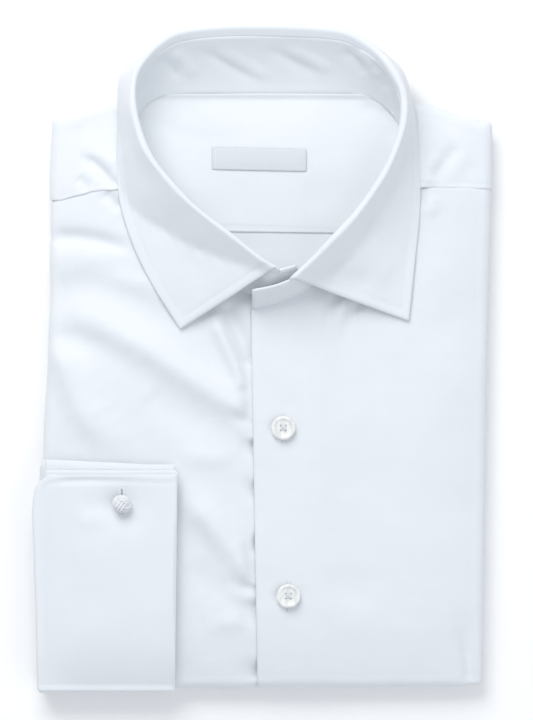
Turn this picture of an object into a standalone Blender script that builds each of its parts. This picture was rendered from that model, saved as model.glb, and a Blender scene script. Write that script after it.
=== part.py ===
"""A man's long sleeve dress shirt with French cuffs, folded for the shelf and lying on its back.

Metres, +Z up. X runs across the folded shirt, Y from the hem fold up to the collar, and the
table is Z = 0. The origin is under the middle of the folded shirt. Left and right in the names
are the wearer's, so the left front is the one at +X.

The visible cloth is draped: a piece is laid out flat in (u, v), and drape() bends it over the
folded body, round its side folds and its hem and shoulder folds.
"""

import math

import bmesh
import bpy
import numpy as np

# ---- cloth and seams
CLOTH = 0.0012            # front, yoke and sleeve cloth with its turned edges
BAND_WALL = 0.0016        # collar stand: two layers and interlining
FALL_WALL = 0.0013        # collar leaf: two layers and interlining
CUFF_WALL = 0.0010        # one layer of the double cuff
SEAM_GAP = 0.0003         # between pieces that are sewn together

# ---- the folded body
CROWN_HEIGHT = 0.0200     # top of the front cloth in the middle
EDGE_HEIGHT = 0.0128      # the same beside the folds
FOLD_HEIGHT = 0.0100      # where the top fold reaches furthest out
FOLD_FOOT = 0.0072        # how low it would curl if it went on to the bottom
FOLD_RADIUS = 0.0060      # how far in from the outline it starts to turn
FOLD_STEPS = FOLD_RADIUS * math.radians(128) * np.array([1.0, 0.72, 0.40])
CORNER_POWER = 5          # how square the folded corners are
SIDE_REACH = 0.040        # the crown rises over these distances from the edges
HEM_REACH = 0.046
SHOULDER_REACH = 0.050
CORE_TOP_DROP = 0.0056    # the hidden layers stay this far under the crown

# Outline of the folded body: y, x of the right fold, x of the left fold.
SIDE_ROWS = (
    (-0.1745, -0.1152, 0.1166),
    (-0.0530, -0.1165, 0.1182),
    (-0.0050, -0.1142, 0.1190),
    (0.0300, -0.1130, 0.1199),
    (0.0845, -0.1126, 0.1211),
    (0.1259, -0.1116, 0.1214),
)
# The same: x, y of the hem fold, y of the shoulder fold.
END_ROWS = (
    (-0.1180, -0.1736, 0.1240),
    (-0.1116, -0.1738, 0.1259),
    (-0.0713, -0.1743, 0.1375),
    (0.0000, -0.1744, 0.1385),
    (0.0766, -0.1739, 0.1365),
    (0.1047, -0.1737, 0.1291),
    (0.1169, -0.1712, 0.1256),
    (0.1214, -0.1700, 0.1215),
)
# The largest folds pressed into the fronts: start x, y, end x, y, width, depth.
PRESSED_FOLDS = (
    (-0.1150, 0.0180, -0.0080, -0.0350, 0.0200, 0.0014),
    (-0.1150, -0.0020, -0.0800, -0.0450, 0.0180, 0.0010),
    (-0.0420, -0.0740, -0.0060, -0.1230, 0.0190, 0.0010),
    (-0.1126, 0.0640, -0.0680, 0.0560, 0.0150, 0.0008),
)
# Side of the hidden layers, from the table up: height, inset from the outline.
LAYER_EDGES = (
    (0.0000, 0.0028), (0.0006, 0.0012), (0.0020, 0.0004), (0.0034, 0.0010),
    (0.0040, 0.0022), (0.0046, 0.0011), (0.0058, 0.0006), (0.0069, 0.0013), (0.0074, 0.0030),
)
# Above the layers, under the fronts: share of the way up to the top, inset.
CORE_SHOULDER = ((0.10, 0.0048), (0.50, 0.0056), (0.90, 0.0085))
CORE_CENTRE = (0.0, -0.020)
CORE_RINGS = (0.88, 0.76, 0.62, 0.46, 0.28, 0.12)

# ---- front opening
FRONT_EDGE = ((0.0262, -0.0060), (-0.1745, -0.0025))  # y, x
FRONT_OVERLAP = 0.035
FRONT_LIFT = 0.0020       # the left front rides this far over the right one
LIFT_FADE = 0.024
TUCK_FADE = 0.012         # beside the front edge, where the right front's hem turns in less
TUCK_TURN = 0.30          # share of the turn that it leaves out
YOKE_SEAM = ((-0.1900, 0.0830), (-0.0640, 0.0918), (0.0640, 0.0918), (0.1900, 0.0842))  # x, y

# ---- neck
# Collar sections from the wearer's right point round the back to the left point. Columns are
# x, y of the neck seam, x, y, z of the roll line, and x, y, z of the leaf's free edge.
COLLAR_ROWS = (
    (0.0010, 0.0325, 0.0078, 0.0488, 0.0470, -0.0437, 0.0167, 0.0224),
    (-0.0130, 0.0372, -0.0024, 0.0553, 0.0480, -0.0505, 0.0272, 0.0226),
    (-0.0290, 0.0510, -0.0183, 0.0664, 0.0490, -0.0592, 0.0414, 0.0226),
    (-0.0450, 0.0672, -0.0357, 0.0796, 0.0490, -0.0682, 0.0600, 0.0224),
    (-0.0575, 0.0842, -0.0500, 0.0942, 0.0480, -0.0748, 0.0806, 0.0218),
    (-0.0660, 0.1030, -0.0601, 0.1106, 0.0460, -0.0775, 0.1002, 0.0208),
    (-0.0690, 0.1190, -0.0660, 0.1275, 0.0430, -0.0770, 0.1190, 0.0195),
    (-0.0660, 0.1310, -0.0682, 0.1428, 0.0400, -0.0752, 0.1400, 0.0140),
    (-0.0588, 0.1380, -0.0652, 0.1556, 0.0370, -0.0690, 0.1470, 0.0060),
    (-0.0490, 0.1412, -0.0545, 0.1667, 0.0340, -0.0560, 0.1510, 0.0026),
    (-0.0360, 0.1418, -0.0386, 0.1728, 0.0325, -0.0385, 0.1525, 0.0018),
    (0.0000, 0.1418, 0.0010, 0.1750, 0.0315, 0.0010, 0.1525, 0.0018),
    (0.0360, 0.1418, 0.0386, 0.1726, 0.0325, 0.0400, 0.1525, 0.0018),
    (0.0490, 0.1414, 0.0546, 0.1667, 0.0340, 0.0575, 0.1510, 0.0026),
    (0.0600, 0.1382, 0.0664, 0.1566, 0.0370, 0.0712, 0.1468, 0.0060),
    (0.0688, 0.1315, 0.0728, 0.1440, 0.0400, 0.0790, 0.1395, 0.0140),
    (0.0745, 0.1220, 0.0740, 0.1322, 0.0430, 0.0822, 0.1210, 0.0190),
    (0.0752, 0.1065, 0.0708, 0.1161, 0.0460, 0.0836, 0.0990, 0.0210),
    (0.0690, 0.0880, 0.0622, 0.0975, 0.0480, 0.0830, 0.0766, 0.0220),
    (0.0575, 0.0700, 0.0490, 0.0784, 0.0490, 0.0808, 0.0554, 0.0224),
    (0.0410, 0.0515, 0.0332, 0.0610, 0.0495, 0.0788, 0.0368, 0.0226),
    (0.0225, 0.0355, 0.0150, 0.0434, 0.0490, 0.0771, 0.0209, 0.0224),
)
COLLAR_COUNT = 43         # sections that the collar is built with
BACK_SEAM_HEIGHT = 0.0106
BACK_SEAM_ROWS = (8, 14)  # table rows whose seam is at that height
SEAM_CLIMB = 3            # rows on either side over which it climbs onto the shoulder
BAND_SHARE = 0.84         # of the way from the neck seam to the roll; the rest is the leaf
ROLL_RADIUS = 0.0022
LEAF_STEPS = (0.14, 0.30, 0.48, 0.66, 0.83, 1.0)
LEAF_SAG = (1.75, 1.25)   # how hollow the right and the left leaf hang
LEAF_BULGE = 0.006        # how far the leaf springs out behind the neck
NECK_CLEARANCE = 0.0010   # cloth is cut back this far outside the stand
LEAF_GAP = 0.0006         # between the stand's top edge and the leaf sewn to it
# The ends of the stand past the leaf: x, y, z of the seam, x, y, z of the top edge.
BAND_UNDER_END = ((0.0190, 0.0384, 0.0222, 0.0175, 0.0490, 0.0430),)
BAND_TAB = (
    (0.0080, 0.0293, 0.0222, 0.0068, 0.0384, 0.0450),
    (-0.0052, 0.0262, 0.0222, -0.0048, 0.0360, 0.0435),
)

# ---- inside the neck
FLOOR_DROP = 0.0029       # the inside yoke and back lie this far under the crown
FLOOR_WALL = 0.0010
FLOOR_RANGE = (0.0330, 0.1405)  # y
FLOOR_MARGIN = ((0.085, 0.0050), (0.102, -0.0024))  # y, how far it runs past the neck seam
INSIDE_SEAM_Y = 0.0676    # yoke to back seam
LABEL_SIZE = (0.0498, 0.0116)
LABEL_WALL = 0.0005
LABEL_PLACE = (-0.0018, 0.1062)

# ---- buttons
BUTTON_PLACES = ((0.0109, -0.0363), (0.0136, -0.1253))
BUTTON_PROFILE = (        # radius, height
    (0.0000, 0.0000), (0.0046, 0.0000), (0.0059, 0.0007), (0.00635, 0.0015),
    (0.0059, 0.0025), (0.0050, 0.0027), (0.0040, 0.0020), (0.0000, 0.0018),
)
HOLE_RADIUS = 0.0008
HOLE_RING = 0.0019

# ---- right cuff, link and sleeve
CUFF_LEFT = -0.1200       # free edge of the turned-back half that shows
CUFF_RIGHT = -0.0450      # wrist fold
CUFF_INNER_LEFT = -0.1130  # where the sleeve is sewn on
CUFF_UNDER_LEFT = -0.1090  # free edge of the turned-back half underneath
CUFF_OPEN = -0.0590       # y of its open edge
CUFF_FOLD = -0.1768       # y of its lower fold
CUFF_LAYER_GAP = 0.0004
CUFF_HALF_GAP = 0.0008
CUFF_CLEARANCE = (0.0042, 0.0012)  # over the front at the open edge and at the lower fold
CUFF_OUTER = CUFF_HALF_GAP / 2 + 2 * CUFF_WALL + CUFF_LAYER_GAP
CUFF_CORNER = 0.0110
LINK_PLACE = (-0.0745, -0.0764)
LINK_RADIUS = 0.0009
SLIT_SIZE = (0.0026, 0.0130)
KNOT_SHAPE = (0.0053, 0.84)  # radius, height over width
BACK_KNOT_SHAPE = (0.0040, 0.42)
SLEEVE_WALL = 0.0016
# Sleeve from the cuff round the side fold to the table: x, height as a share of the cuff's.
SLEEVE_SECTION = (
    (-0.1137, 1.00), (-0.1165, 0.98), (-0.1190, 0.90), (-0.1207, 0.76), (-0.1214, 0.56),
    (-0.1213, 0.34), (-0.1205, 0.16), (-0.1192, 0.06),
)

COTTON = (0.80, 0.85, 0.92, 1.0)
COTTON_INSIDE = (0.77, 0.82, 0.90, 1.0)
LABEL_SATIN = (0.66, 0.71, 0.78, 1.0)
SILK = (0.78, 0.80, 0.83, 1.0)
PEARL = (0.86, 0.86, 0.84, 1.0)


def clear_scene():
    for obj in list(bpy.data.objects):
        bpy.data.objects.remove(obj)


def material(name, color, roughness):
    made = bpy.data.materials.new(name)
    made.use_nodes = True
    shader = made.node_tree.nodes["Principled BSDF"]
    shader.inputs["Base Color"].default_value = color
    shader.inputs["Roughness"].default_value = roughness
    shader.inputs["Metallic"].default_value = 0.0
    return made


# ---- shapes
def mesh_object(name, points, faces, look):
    """One object whose faces all point out. look is None for a cutter."""
    mesh = bpy.data.meshes.new(name)
    mesh.from_pydata([tuple(p) for p in points], [], faces)
    shaped = bmesh.new()
    shaped.from_mesh(mesh)
    bmesh.ops.recalc_face_normals(shaped, faces=shaped.faces)
    shaped.to_mesh(mesh)
    shaped.free()
    if look:
        mesh.materials.append(look)
    mesh.shade_smooth()
    mesh.set_sharp_from_angle(angle=math.radians(40))
    obj = bpy.data.objects.new(name, mesh)
    bpy.context.scene.collection.objects.link(obj)
    return obj


def grid_normals(grid):
    normal = np.cross(np.gradient(grid, axis=1), np.gradient(grid, axis=0))
    return normal / np.maximum(np.linalg.norm(normal, axis=2, keepdims=True), 1e-12)


def wall(name, outer, thickness, look):
    """A closed wall: the grid is one skin, and the other lies thickness behind its normals."""
    inner = outer - thickness * grid_normals(outer)
    rows, columns = outer.shape[:2]
    count = rows * columns
    points = np.vstack([outer.reshape(-1, 3), inner.reshape(-1, 3)])
    faces = []
    for i in range(rows - 1):
        for j in range(columns - 1):
            a, b = i * columns + j, i * columns + j + 1
            c, d = b + columns, a + columns
            faces += [(a, b, c, d), (d + count, c + count, b + count, a + count)]
    rim = list(range(columns))
    rim += [i * columns + columns - 1 for i in range(1, rows)]
    rim += [(rows - 1) * columns + j for j in range(columns - 2, -1, -1)]
    rim += [i * columns for i in range(rows - 2, 0, -1)]
    for a, b in zip(rim, rim[1:] + rim[:1]):
        faces.append((a, a + count, b + count, b))
    return mesh_object(name, points, faces, look)


def rings_solid(name, rings, look):
    """A closed solid through rings of equal length, with a face on each end."""
    count = len(rings[0])
    points = np.vstack(rings)
    faces = [tuple(range(count)), tuple(range(len(points) - count, len(points)))]
    for i in range(len(rings) - 1):
        for j in range(count):
            a, b = i * count + j, i * count + (j + 1) % count
            faces.append((a, b, b + count, a + count))
    return mesh_object(name, points, faces, look)


def turned(name, profile, place, segments, look):
    """A solid turned round Z from (radius, height) rows, whose first and last lie on the axis."""
    angles = np.linspace(0, 2 * math.pi, segments, endpoint=False)
    circle = np.stack([np.cos(angles), np.sin(angles), np.zeros(segments)], axis=1)
    up = np.array([0.0, 0.0, 1.0])
    rings = [place + radius * circle + height * up for radius, height in profile[1:-1]]
    points = np.vstack(rings + [place + profile[0][1] * up, place + profile[-1][1] * up])
    first, last = len(points) - 2, len(points) - 1
    top = (len(rings) - 1) * segments
    faces = []
    for j in range(segments):
        k = (j + 1) % segments
        faces += [(first, k, j), (last, top + j, top + k)]
        for i in range(len(rings) - 1):
            a, b = i * segments + j, i * segments + k
            faces.append((a, b, b + segments, a + segments))
    return mesh_object(name, points, faces, look)


def prism(name, outline, low, high, look=None):
    outline = np.array(outline, float)
    rings = [np.column_stack([outline, np.full(len(outline), z)]) for z in (low, high)]
    return rings_solid(name, rings, look)


def rectangle(place, size):
    corners = ((-0.5, -0.5), (0.5, -0.5), (0.5, 0.5), (-0.5, 0.5))
    return [(place[0] + a * size[0], place[1] + b * size[1]) for a, b in corners]


def cut(obj, cutter):
    cutter.hide_render = True
    cutter.display_type = "WIRE"
    boolean = obj.modifiers.new("cut " + cutter.name, "BOOLEAN")
    boolean.operation = "DIFFERENCE"
    boolean.solver = "EXACT"
    boolean.object = cutter


# ---- the folded body
def column(rows, key, value):
    """Reads one column of a table against another, with straight lines between its rows."""
    table = np.array(sorted(rows, key=lambda row: row[key]))
    return lambda at: np.interp(at, table[:, key], table[:, value])


right_fold_x = column(SIDE_ROWS, 0, 1)
left_fold_x = column(SIDE_ROWS, 0, 2)
hem_y = column(END_ROWS, 0, 1)
shoulder_y = column(END_ROWS, 0, 2)
front_edge_x = column(FRONT_EDGE, 0, 1)


def rise(distance, reach):
    """0 at an edge and 1 from reach inwards, as a soft shoulder."""
    return 1 - (1 - min(max(distance / reach, 0.0), 1.0)) ** 2


def crown(x, y):
    """Height of the front cloth over the table, before its folds."""
    side = rise(min(x - right_fold_x(y), left_fold_x(y) - x), SIDE_REACH)
    hem = rise(y - hem_y(x), HEM_REACH)
    shoulder = rise(shoulder_y(x) - y, SHOULDER_REACH)
    return EDGE_HEIGHT + (CROWN_HEIGHT - EDGE_HEIGHT) * side * hem * shoulder


def front_lift(x, y):
    """How far the left front rides over the right one here."""
    past = x - front_edge_x(y)
    return FRONT_LIFT * (1 - rise(past - FRONT_OVERLAP, LIFT_FADE)) if past > -1e-6 else 0.0


def pressed(x, y):
    """How far the pressed folds lower the cloth here."""
    depth = 0.0
    for x0, y0, x1, y1, width, most in PRESSED_FOLDS:
        along = np.array([x1 - x0, y1 - y0])
        at = np.array([x - x0, y - y0])
        share = min(max(float(at @ along / (along @ along)), 0.0), 1.0)
        off = float(at[0] * along[1] - at[1] * along[0]) / math.hypot(*along)
        depth += most * math.sin(math.pi * share) ** 0.5 * math.exp(-((2 * off / width) ** 2))
    return depth


def tucked(x, y):
    """1 where the right front lies inside the left one's hem fold, and 0 away from it."""
    return 1 - rise(front_edge_x(y) - x, TUCK_FADE)


def drape(u, v, lift=0.0, tuck=0.0):
    """The place on the folded body of the flat cloth's point (u, v)."""
    low, high = right_fold_x(v) + FOLD_RADIUS, left_fold_x(v) - FOLD_RADIUS
    x = min(max(u, low), high)
    y = min(max(v, hem_y(x) + FOLD_RADIUS), shoulder_y(x) - FOLD_RADIUS)
    over_x, over_y = (u - x) / FOLD_RADIUS, (v - y) / FOLD_RADIUS
    turn = (abs(over_x) ** CORNER_POWER + abs(over_y) ** CORNER_POWER) ** (1 / CORNER_POWER)
    top = crown(x, y) - pressed(x, y) + lift
    if turn < 1e-9:
        return np.array([x, y, top])
    angle = min(turn, FOLD_STEPS[0] / FOLD_RADIUS) * (1 - TUCK_TURN * tuck)
    out = (FOLD_RADIUS - FRONT_LIFT * tuck) * math.sin(angle) / turn
    drop = (top - FOLD_HEIGHT) if angle < math.pi / 2 else (FOLD_HEIGHT - FOLD_FOOT)
    return np.array([x + out * over_x, y + out * over_y, FOLD_HEIGHT + drop * math.cos(angle)])


# ---- collar curves, which the fronts and the yoke share
def smooth_table(rows, count):
    """A table resampled to count rows by a Catmull-Rom curve through its rows."""
    table = np.array(rows, float)
    ends = np.vstack([2 * table[0] - table[1], table, 2 * table[-1] - table[-2]])
    made = []
    for place in np.linspace(0, len(table) - 1, count):
        i = min(int(place), len(table) - 2)
        t = place - i
        a, b, c, d = ends[i:i + 4]
        curve = 2 * b + (c - a) * t + (2 * a - 5 * b + 4 * c - d) * t * t
        made.append(0.5 * (curve + (3 * b - a - 3 * c + d) * t ** 3))
    return np.array(made)


def seam_height(k, x, y):
    """The neck seam lies on the body in front and low behind the neck."""
    first, last = BACK_SEAM_ROWS
    on_body = crown(x, y) + front_lift(x, y) + SEAM_GAP
    share = min(max(first - k, k - last, 0) / SEAM_CLIMB, 1.0)
    return BACK_SEAM_HEIGHT + (on_body - BACK_SEAM_HEIGHT) * share


def collar_table():
    """Collar sections with the seam's height put in: seam, roll and edge, three columns each."""
    rows = [row[:2] + (seam_height(k, *row[:2]),) + row[2:] for k, row in enumerate(COLLAR_ROWS)]
    return smooth_table(rows, COLLAR_COUNT)


COLLAR = collar_table()
COLLAR_MIDDLE = COLLAR_COUNT // 2


def neckline(side):
    """Cut of the cloth round one side of the stand, from the front to the middle of the back."""
    if side < 0:
        ends, seam = BAND_UNDER_END, COLLAR[:COLLAR_MIDDLE + 1]
    else:
        ends, seam = BAND_TAB[::-1], COLLAR[:COLLAR_MIDDLE - 1:-1]
    line = np.vstack([np.array(ends)[:, :2], seam[:, :2]])
    ahead = np.gradient(line, axis=0)
    outward = np.stack([ahead[:, 1], -ahead[:, 0]], axis=1) * side
    return line + NECK_CLEARANCE * outward / np.linalg.norm(outward, axis=1, keepdims=True)


# ---- panels
def body_grid(side):
    """The body cloth of one side, from its front edge to its side fold and from hem to shoulder."""
    levels = [(0.0, -step) for step in FOLD_STEPS]
    levels += [(share, 0.0) for share in np.linspace(0, 1, 28)]
    levels += [(1.0, step) for step in FOLD_STEPS[::-1]]
    fold = left_fold_x if side > 0 else right_fold_x
    grid = []
    for share, beyond in levels:
        middle = hem_y(0.0) + share * (shoulder_y(0.0) - hem_y(0.0))
        inner = front_edge_x(middle) + (0.0 if side > 0 else FRONT_OVERLAP)
        outer = fold(middle) - side * FOLD_RADIUS
        across = list(np.linspace(inner, outer, 13)) + list(outer + side * FOLD_STEPS[::-1])
        row = []
        for u in across:
            inside = min(max(u, right_fold_x(middle)), left_fold_x(middle))
            low, high = hem_y(inside) + FOLD_RADIUS, shoulder_y(inside) - FOLD_RADIUS
            v = low + share * (high - low) + beyond
            if side > 0:
                row.append(drape(u, v, lift=front_lift(max(u, front_edge_x(v)), v)))
            else:
                row.append(drape(u, v, tuck=tucked(u, v)))
        grid.append(row)
    grid = np.array(grid)
    return grid if side > 0 else grid[:, ::-1]


def neck_cutter(side, name):
    line = neckline(side)
    across = -side * 0.060
    closing = [(across, line[-1][1]), (across, line[0][1])]
    return prism(name, np.vstack([line, closing]), -0.010, 0.080)


def seam_cutter(name, above):
    """Everything above or below the yoke seam, short of it by half the seam gap."""
    shift = SEAM_GAP / 2 * (-1 if above else 1)
    line = [(x, y + shift) for x, y in YOKE_SEAM]
    far = 0.25 if above else -0.25
    return prism(name, line + [(line[-1][0], far), (line[0][0], far)], -0.010, 0.080)


def build_body_side(side, look):
    word = "left" if side > 0 else "right"
    front = wall("front_" + word, body_grid(side), CLOTH, look)
    cut(front, neck_cutter(side, "front_neck_cutter_" + word))
    cut(front, seam_cutter("front_seam_cutter_" + word, True))
    yoke = wall("yoke_shoulder_" + word, body_grid(side), CLOTH, look)
    cut(yoke, neck_cutter(side, "yoke_neck_cutter_" + word))
    cut(yoke, seam_cutter("yoke_seam_cutter_" + word, False))


# ---- hidden layers
def core_top(x, y):
    return crown(x, y) - CORE_TOP_DROP


def body_outline():
    """Points of the outline, anticlockwise from the corner of the hem and the right fold."""
    corner = FOLD_RADIUS * (1 - 0.5 ** (1 / CORNER_POWER))
    hem = [(x, hem_y(x)) for x in np.linspace(-0.1090, 0.1100, 13)]
    left = [(left_fold_x(y), y) for y in np.linspace(-0.1660, 0.1190, 17)]
    top = [(x, shoulder_y(x)) for x in np.linspace(0.1140, -0.1060, 13)]
    right = [(right_fold_x(y), y) for y in np.linspace(0.1200, -0.1680, 17)]
    points = []
    for run in (hem, left, top, right):
        points += run
    turns = (len(hem), len(hem) + len(left), len(hem) + len(left) + len(top), len(points))
    signs = ((1, -1), (1, 1), (-1, 1), (-1, -1))
    for turn, (sx, sy) in reversed(list(zip(turns, signs))):
        fold = (left_fold_x if sx > 0 else right_fold_x)(sy * 0.15)
        x = fold - sx * corner
        y = (shoulder_y if sy > 0 else hem_y)(x) - sy * corner
        points.insert(turn, (x, y))
    return np.array(points)


def build_core(look):
    """Back, tails, left sleeve and the rest that is folded in, as one rounded solid."""
    outline = body_outline()
    ahead = np.roll(outline, -1, axis=0) - np.roll(outline, 1, axis=0)
    inward = np.stack([-ahead[:, 1], ahead[:, 0]], axis=1)
    inward /= np.linalg.norm(inward, axis=1, keepdims=True)
    rings = []
    for height, inset in LAYER_EDGES:
        ring = outline + inset * inward
        rings.append(np.column_stack([ring, np.full(len(ring), height)]))
    foot = LAYER_EDGES[-1][0]
    for share, inset in CORE_SHOULDER:
        ring = outline + inset * inward
        heights = [foot + share * (core_top(x, y) - foot) for x, y in ring]
        rings.append(np.column_stack([ring, heights]))
    centre = np.array(CORE_CENTRE)
    for scale in CORE_RINGS:
        flat = centre + scale * (rings[len(LAYER_EDGES) + 2][:, :2] - centre)
        rings.append(np.column_stack([flat, [core_top(x, y) for x, y in flat]]))
    rings_solid("folded_layers", rings, look)


# ---- inside the neck
def neck_width(y):
    """x of the neck seam's two sides at y."""
    right, left = COLLAR[:COLLAR_MIDDLE + 1], COLLAR[:COLLAR_MIDDLE - 1:-1]
    return [np.interp(y, part[:, 1], part[:, 0]) for part in (right, left)]


def floor_point(x, y, over=0.0):
    return (x, y, crown(x, y) - FLOOR_DROP + over)


def build_inside(name, y_low, y_high, rows, look):
    margin = column(FLOOR_MARGIN, 0, 1)
    grid = []
    for y in np.linspace(y_low, y_high, rows):
        low, high = neck_width(y)
        across = np.linspace(low - margin(y), high + margin(y), 11)
        grid.append([floor_point(x, y) for x in across])
    wall(name, np.array(grid), FLOOR_WALL, look)


def build_label(look):
    width, depth = LABEL_SIZE
    x, y = LABEL_PLACE
    grid = [
        [floor_point(x + a * width, y + b * depth, LABEL_WALL + SEAM_GAP)
         for a in np.linspace(-0.5, 0.5, 5)]
        for b in (-0.5, 0.0, 0.5)
    ]
    wall("label", np.array(grid), LABEL_WALL, look)


# ---- collar
def build_band(look):
    """The stand: its right end goes under, and its left end laps over it as a tab."""
    strips = [(row[0:3], row[0:3] + BAND_SHARE * (row[3:6] - row[0:3])) for row in COLLAR]
    strips = [(row[:3], row[3:]) for row in np.array(BAND_UNDER_END)] + strips
    strips += [(row[:3], row[3:]) for row in np.array(BAND_TAB)]
    grid = [[low + share * (high - low) for share in (0.0, 0.5, 1.0)] for low, high in strips]
    wall("collar_band", np.array(grid), BAND_WALL, look)


def leaf_section(row, share):
    """Across the leaf: up from the stand, over the roll and down to the free edge."""
    seam, roll, edge = row[0:3], row[3:6], row[6:9]
    up = (roll - seam) / np.linalg.norm(roll - seam)
    side = (edge - roll) - up * ((edge - roll) @ up)
    side /= np.linalg.norm(side)
    skin = (BAND_WALL + FALL_WALL) / 2
    centre = roll - up * ROLL_RADIUS + side * (ROLL_RADIUS - skin)
    start = seam + BAND_SHARE * (roll - seam) - side * skin + up * LEAF_GAP
    points = [start, (start + centre - side * ROLL_RADIUS) / 2]
    for turn in np.radians((0, 45, 90, 135)):
        points.append(centre + ROLL_RADIUS * (math.sin(turn) * up - math.cos(turn) * side))
    begin = points[-1]
    behind = min(max((0.5 - abs(share - 0.5) - 0.26) / 0.10, 0.0), 1.0)
    sag = LEAF_SAG[0] + (LEAF_SAG[1] - LEAF_SAG[0]) * share
    sag += (1.0 - sag) * behind
    for step in LEAF_STEPS:
        point = begin + step * (edge - begin)
        point[2] = edge[2] + (begin[2] - edge[2]) * (1 - step) ** sag
        points.append(point + LEAF_BULGE * behind * math.sin(math.pi * step) * side)
    return points


def build_fall(look):
    shares = np.linspace(0, 1, COLLAR_COUNT)
    grid = np.array([leaf_section(row, share) for row, share in zip(COLLAR, shares)])
    wall("collar_fall", grid[:, ::-1], FALL_WALL, look)


# ---- buttons
def build_buttons(look):
    for number, (x, y) in enumerate(BUTTON_PLACES, 1):
        place = np.array([x, y, crown(x, y) + FRONT_LIFT + SEAM_GAP])
        button = turned("button_%d" % number, BUTTON_PROFILE, place, 20, look)
        for k in range(4):
            angle = math.radians(45 + 90 * k)
            hole = [
                place[:2] + HOLE_RING * np.array([math.cos(angle), math.sin(angle)])
                + HOLE_RADIUS * np.array([math.cos(a), math.sin(a)])
                for a in np.linspace(0, 2 * math.pi, 6, endpoint=False)
            ]
            low = place[2] - 0.002
            cut(button, prism("thread_hole_%d_%d" % (number, k), hole, low, low + 0.006))


# ---- cuff, link and sleeve
def cuff_height(x, y):
    """Height of the middle of the four cuff layers."""
    share = min(max((CUFF_OPEN - y) / (CUFF_OPEN - CUFF_FOLD), 0.0), 1.0)
    over = CUFF_CLEARANCE[0] + (CUFF_CLEARANCE[1] - CUFF_CLEARANCE[0]) * share
    return crown(x, y) + CLOTH / 2 + over + CUFF_OUTER


def cuff_point(x, around, radius):
    """On the flattened cuff at x. around runs 0 to 1 from the upper open edge to the lower."""
    fold_y = CUFF_FOLD + CUFF_OUTER
    if around <= 0.45:
        y = CUFF_OPEN + (fold_y - CUFF_OPEN) * around / 0.45
        return np.array([x, y, cuff_height(x, y) + radius])
    if around >= 0.55:
        y = fold_y + (CUFF_OPEN - fold_y) * (around - 0.55) / 0.45
        return np.array([x, y, cuff_height(x, y) - radius])
    angle = (around - 0.45) / 0.10 * math.pi
    middle = cuff_height(x, fold_y)
    return np.array([x, fold_y - radius * math.sin(angle), middle + radius * math.cos(angle)])


def cuff_row(around):
    """Across the double cuff: free edge, wrist fold, and back under to the sleeve."""
    inner = CUFF_HALF_GAP / 2
    middle, bend = (CUFF_OUTER + inner) / 2, (CUFF_OUTER - inner) / 2
    share = min(max((around - 0.45) / 0.10, 0.0), 1.0)
    free = CUFF_LEFT + (CUFF_UNDER_LEFT - CUFF_LEFT) * share
    wrist = CUFF_RIGHT - 0.0012 * around - bend
    row = [(x, CUFF_OUTER) for x in np.linspace(free, wrist, 7)]
    row += [(wrist + bend * math.sin(a), middle + bend * math.cos(a))
            for a in np.radians((45, 90, 135))]
    row += [(x, inner) for x in np.linspace(wrist, CUFF_INNER_LEFT, 7)]
    return [cuff_point(x, around, radius) for x, radius in row]


def build_cuff(look):
    """One double cuff, turned back at the wrist and laid flat, as a single bent wall."""
    upper, lower = np.linspace(0, 0.45, 8), np.linspace(0.55, 1, 7)
    arounds = np.concatenate([upper, (0.475, 0.5, 0.525), lower])
    grid = np.array([cuff_row(around) for around in arounds])
    cuff = wall("cuff_right", grid[:, ::-1], CUFF_WALL, look)
    cut(cuff, cuff_corner_cutter())
    cut(cuff, prism("cuff_slit", rectangle(LINK_PLACE, SLIT_SIZE), 0.005, 0.050))


def cuff_corner_cutter():
    """Rounds the free corner of the turned-back half that shows."""
    x, y, radius = CUFF_LEFT, CUFF_OPEN, CUFF_CORNER
    arc = [(x + radius * (1 - math.cos(a)), y - radius * (1 - math.sin(a)))
           for a in np.radians((0, 18, 36, 54, 72, 90))]
    past = 0.004
    ends = [(x + radius, y + past), (x - past, y + past), (x - past, y - radius)]
    low = cuff_height(x, y) + CUFF_OUTER - CUFF_WALL - CUFF_LAYER_GAP * 2
    return prism("cuff_corner", arc + ends, low, low + 0.02)


def ball_profile(shape, rows):
    radius, squash = shape
    turns = np.linspace(-math.pi / 2, math.pi / 2, rows)
    return [(radius * math.cos(t), radius * squash * (1 + math.sin(t))) for t in turns]


def build_link(look):
    x, y = LINK_PLACE
    middle = cuff_height(x, y)
    low, high = middle - CUFF_OUTER - SEAM_GAP, middle + CUFF_OUTER + SEAM_GAP
    top = np.array([x, y, high + SEAM_GAP])
    turned("cufflink_knot", ball_profile(KNOT_SHAPE, 8), top, 16, look)
    back = 2 * BACK_KNOT_SHAPE[0] * BACK_KNOT_SHAPE[1]
    under = np.array([x, y, low - SEAM_GAP - back])
    turned("cufflink_knot_under", ball_profile(BACK_KNOT_SHAPE, 7), under, 14, look)
    profile = ((0, low), (LINK_RADIUS, low), (LINK_RADIUS, high), (0, high))
    turned("cufflink_cord", profile, np.array([x, y, 0.0]), 8, look)


def build_sleeve(look):
    """The sleeve where it leaves the cuff and wraps the side fold."""
    grid = []
    for y in np.linspace(CUFF_FOLD + CUFF_OUTER + CLOTH, CUFF_OPEN - CLOTH, 12):
        grid.append([(x, y, share * cuff_height(CUFF_LEFT, y)) for x, share in SLEEVE_SECTION])
    wall("sleeve_right", np.array(grid)[:, ::-1], SLEEVE_WALL, look)


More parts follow.
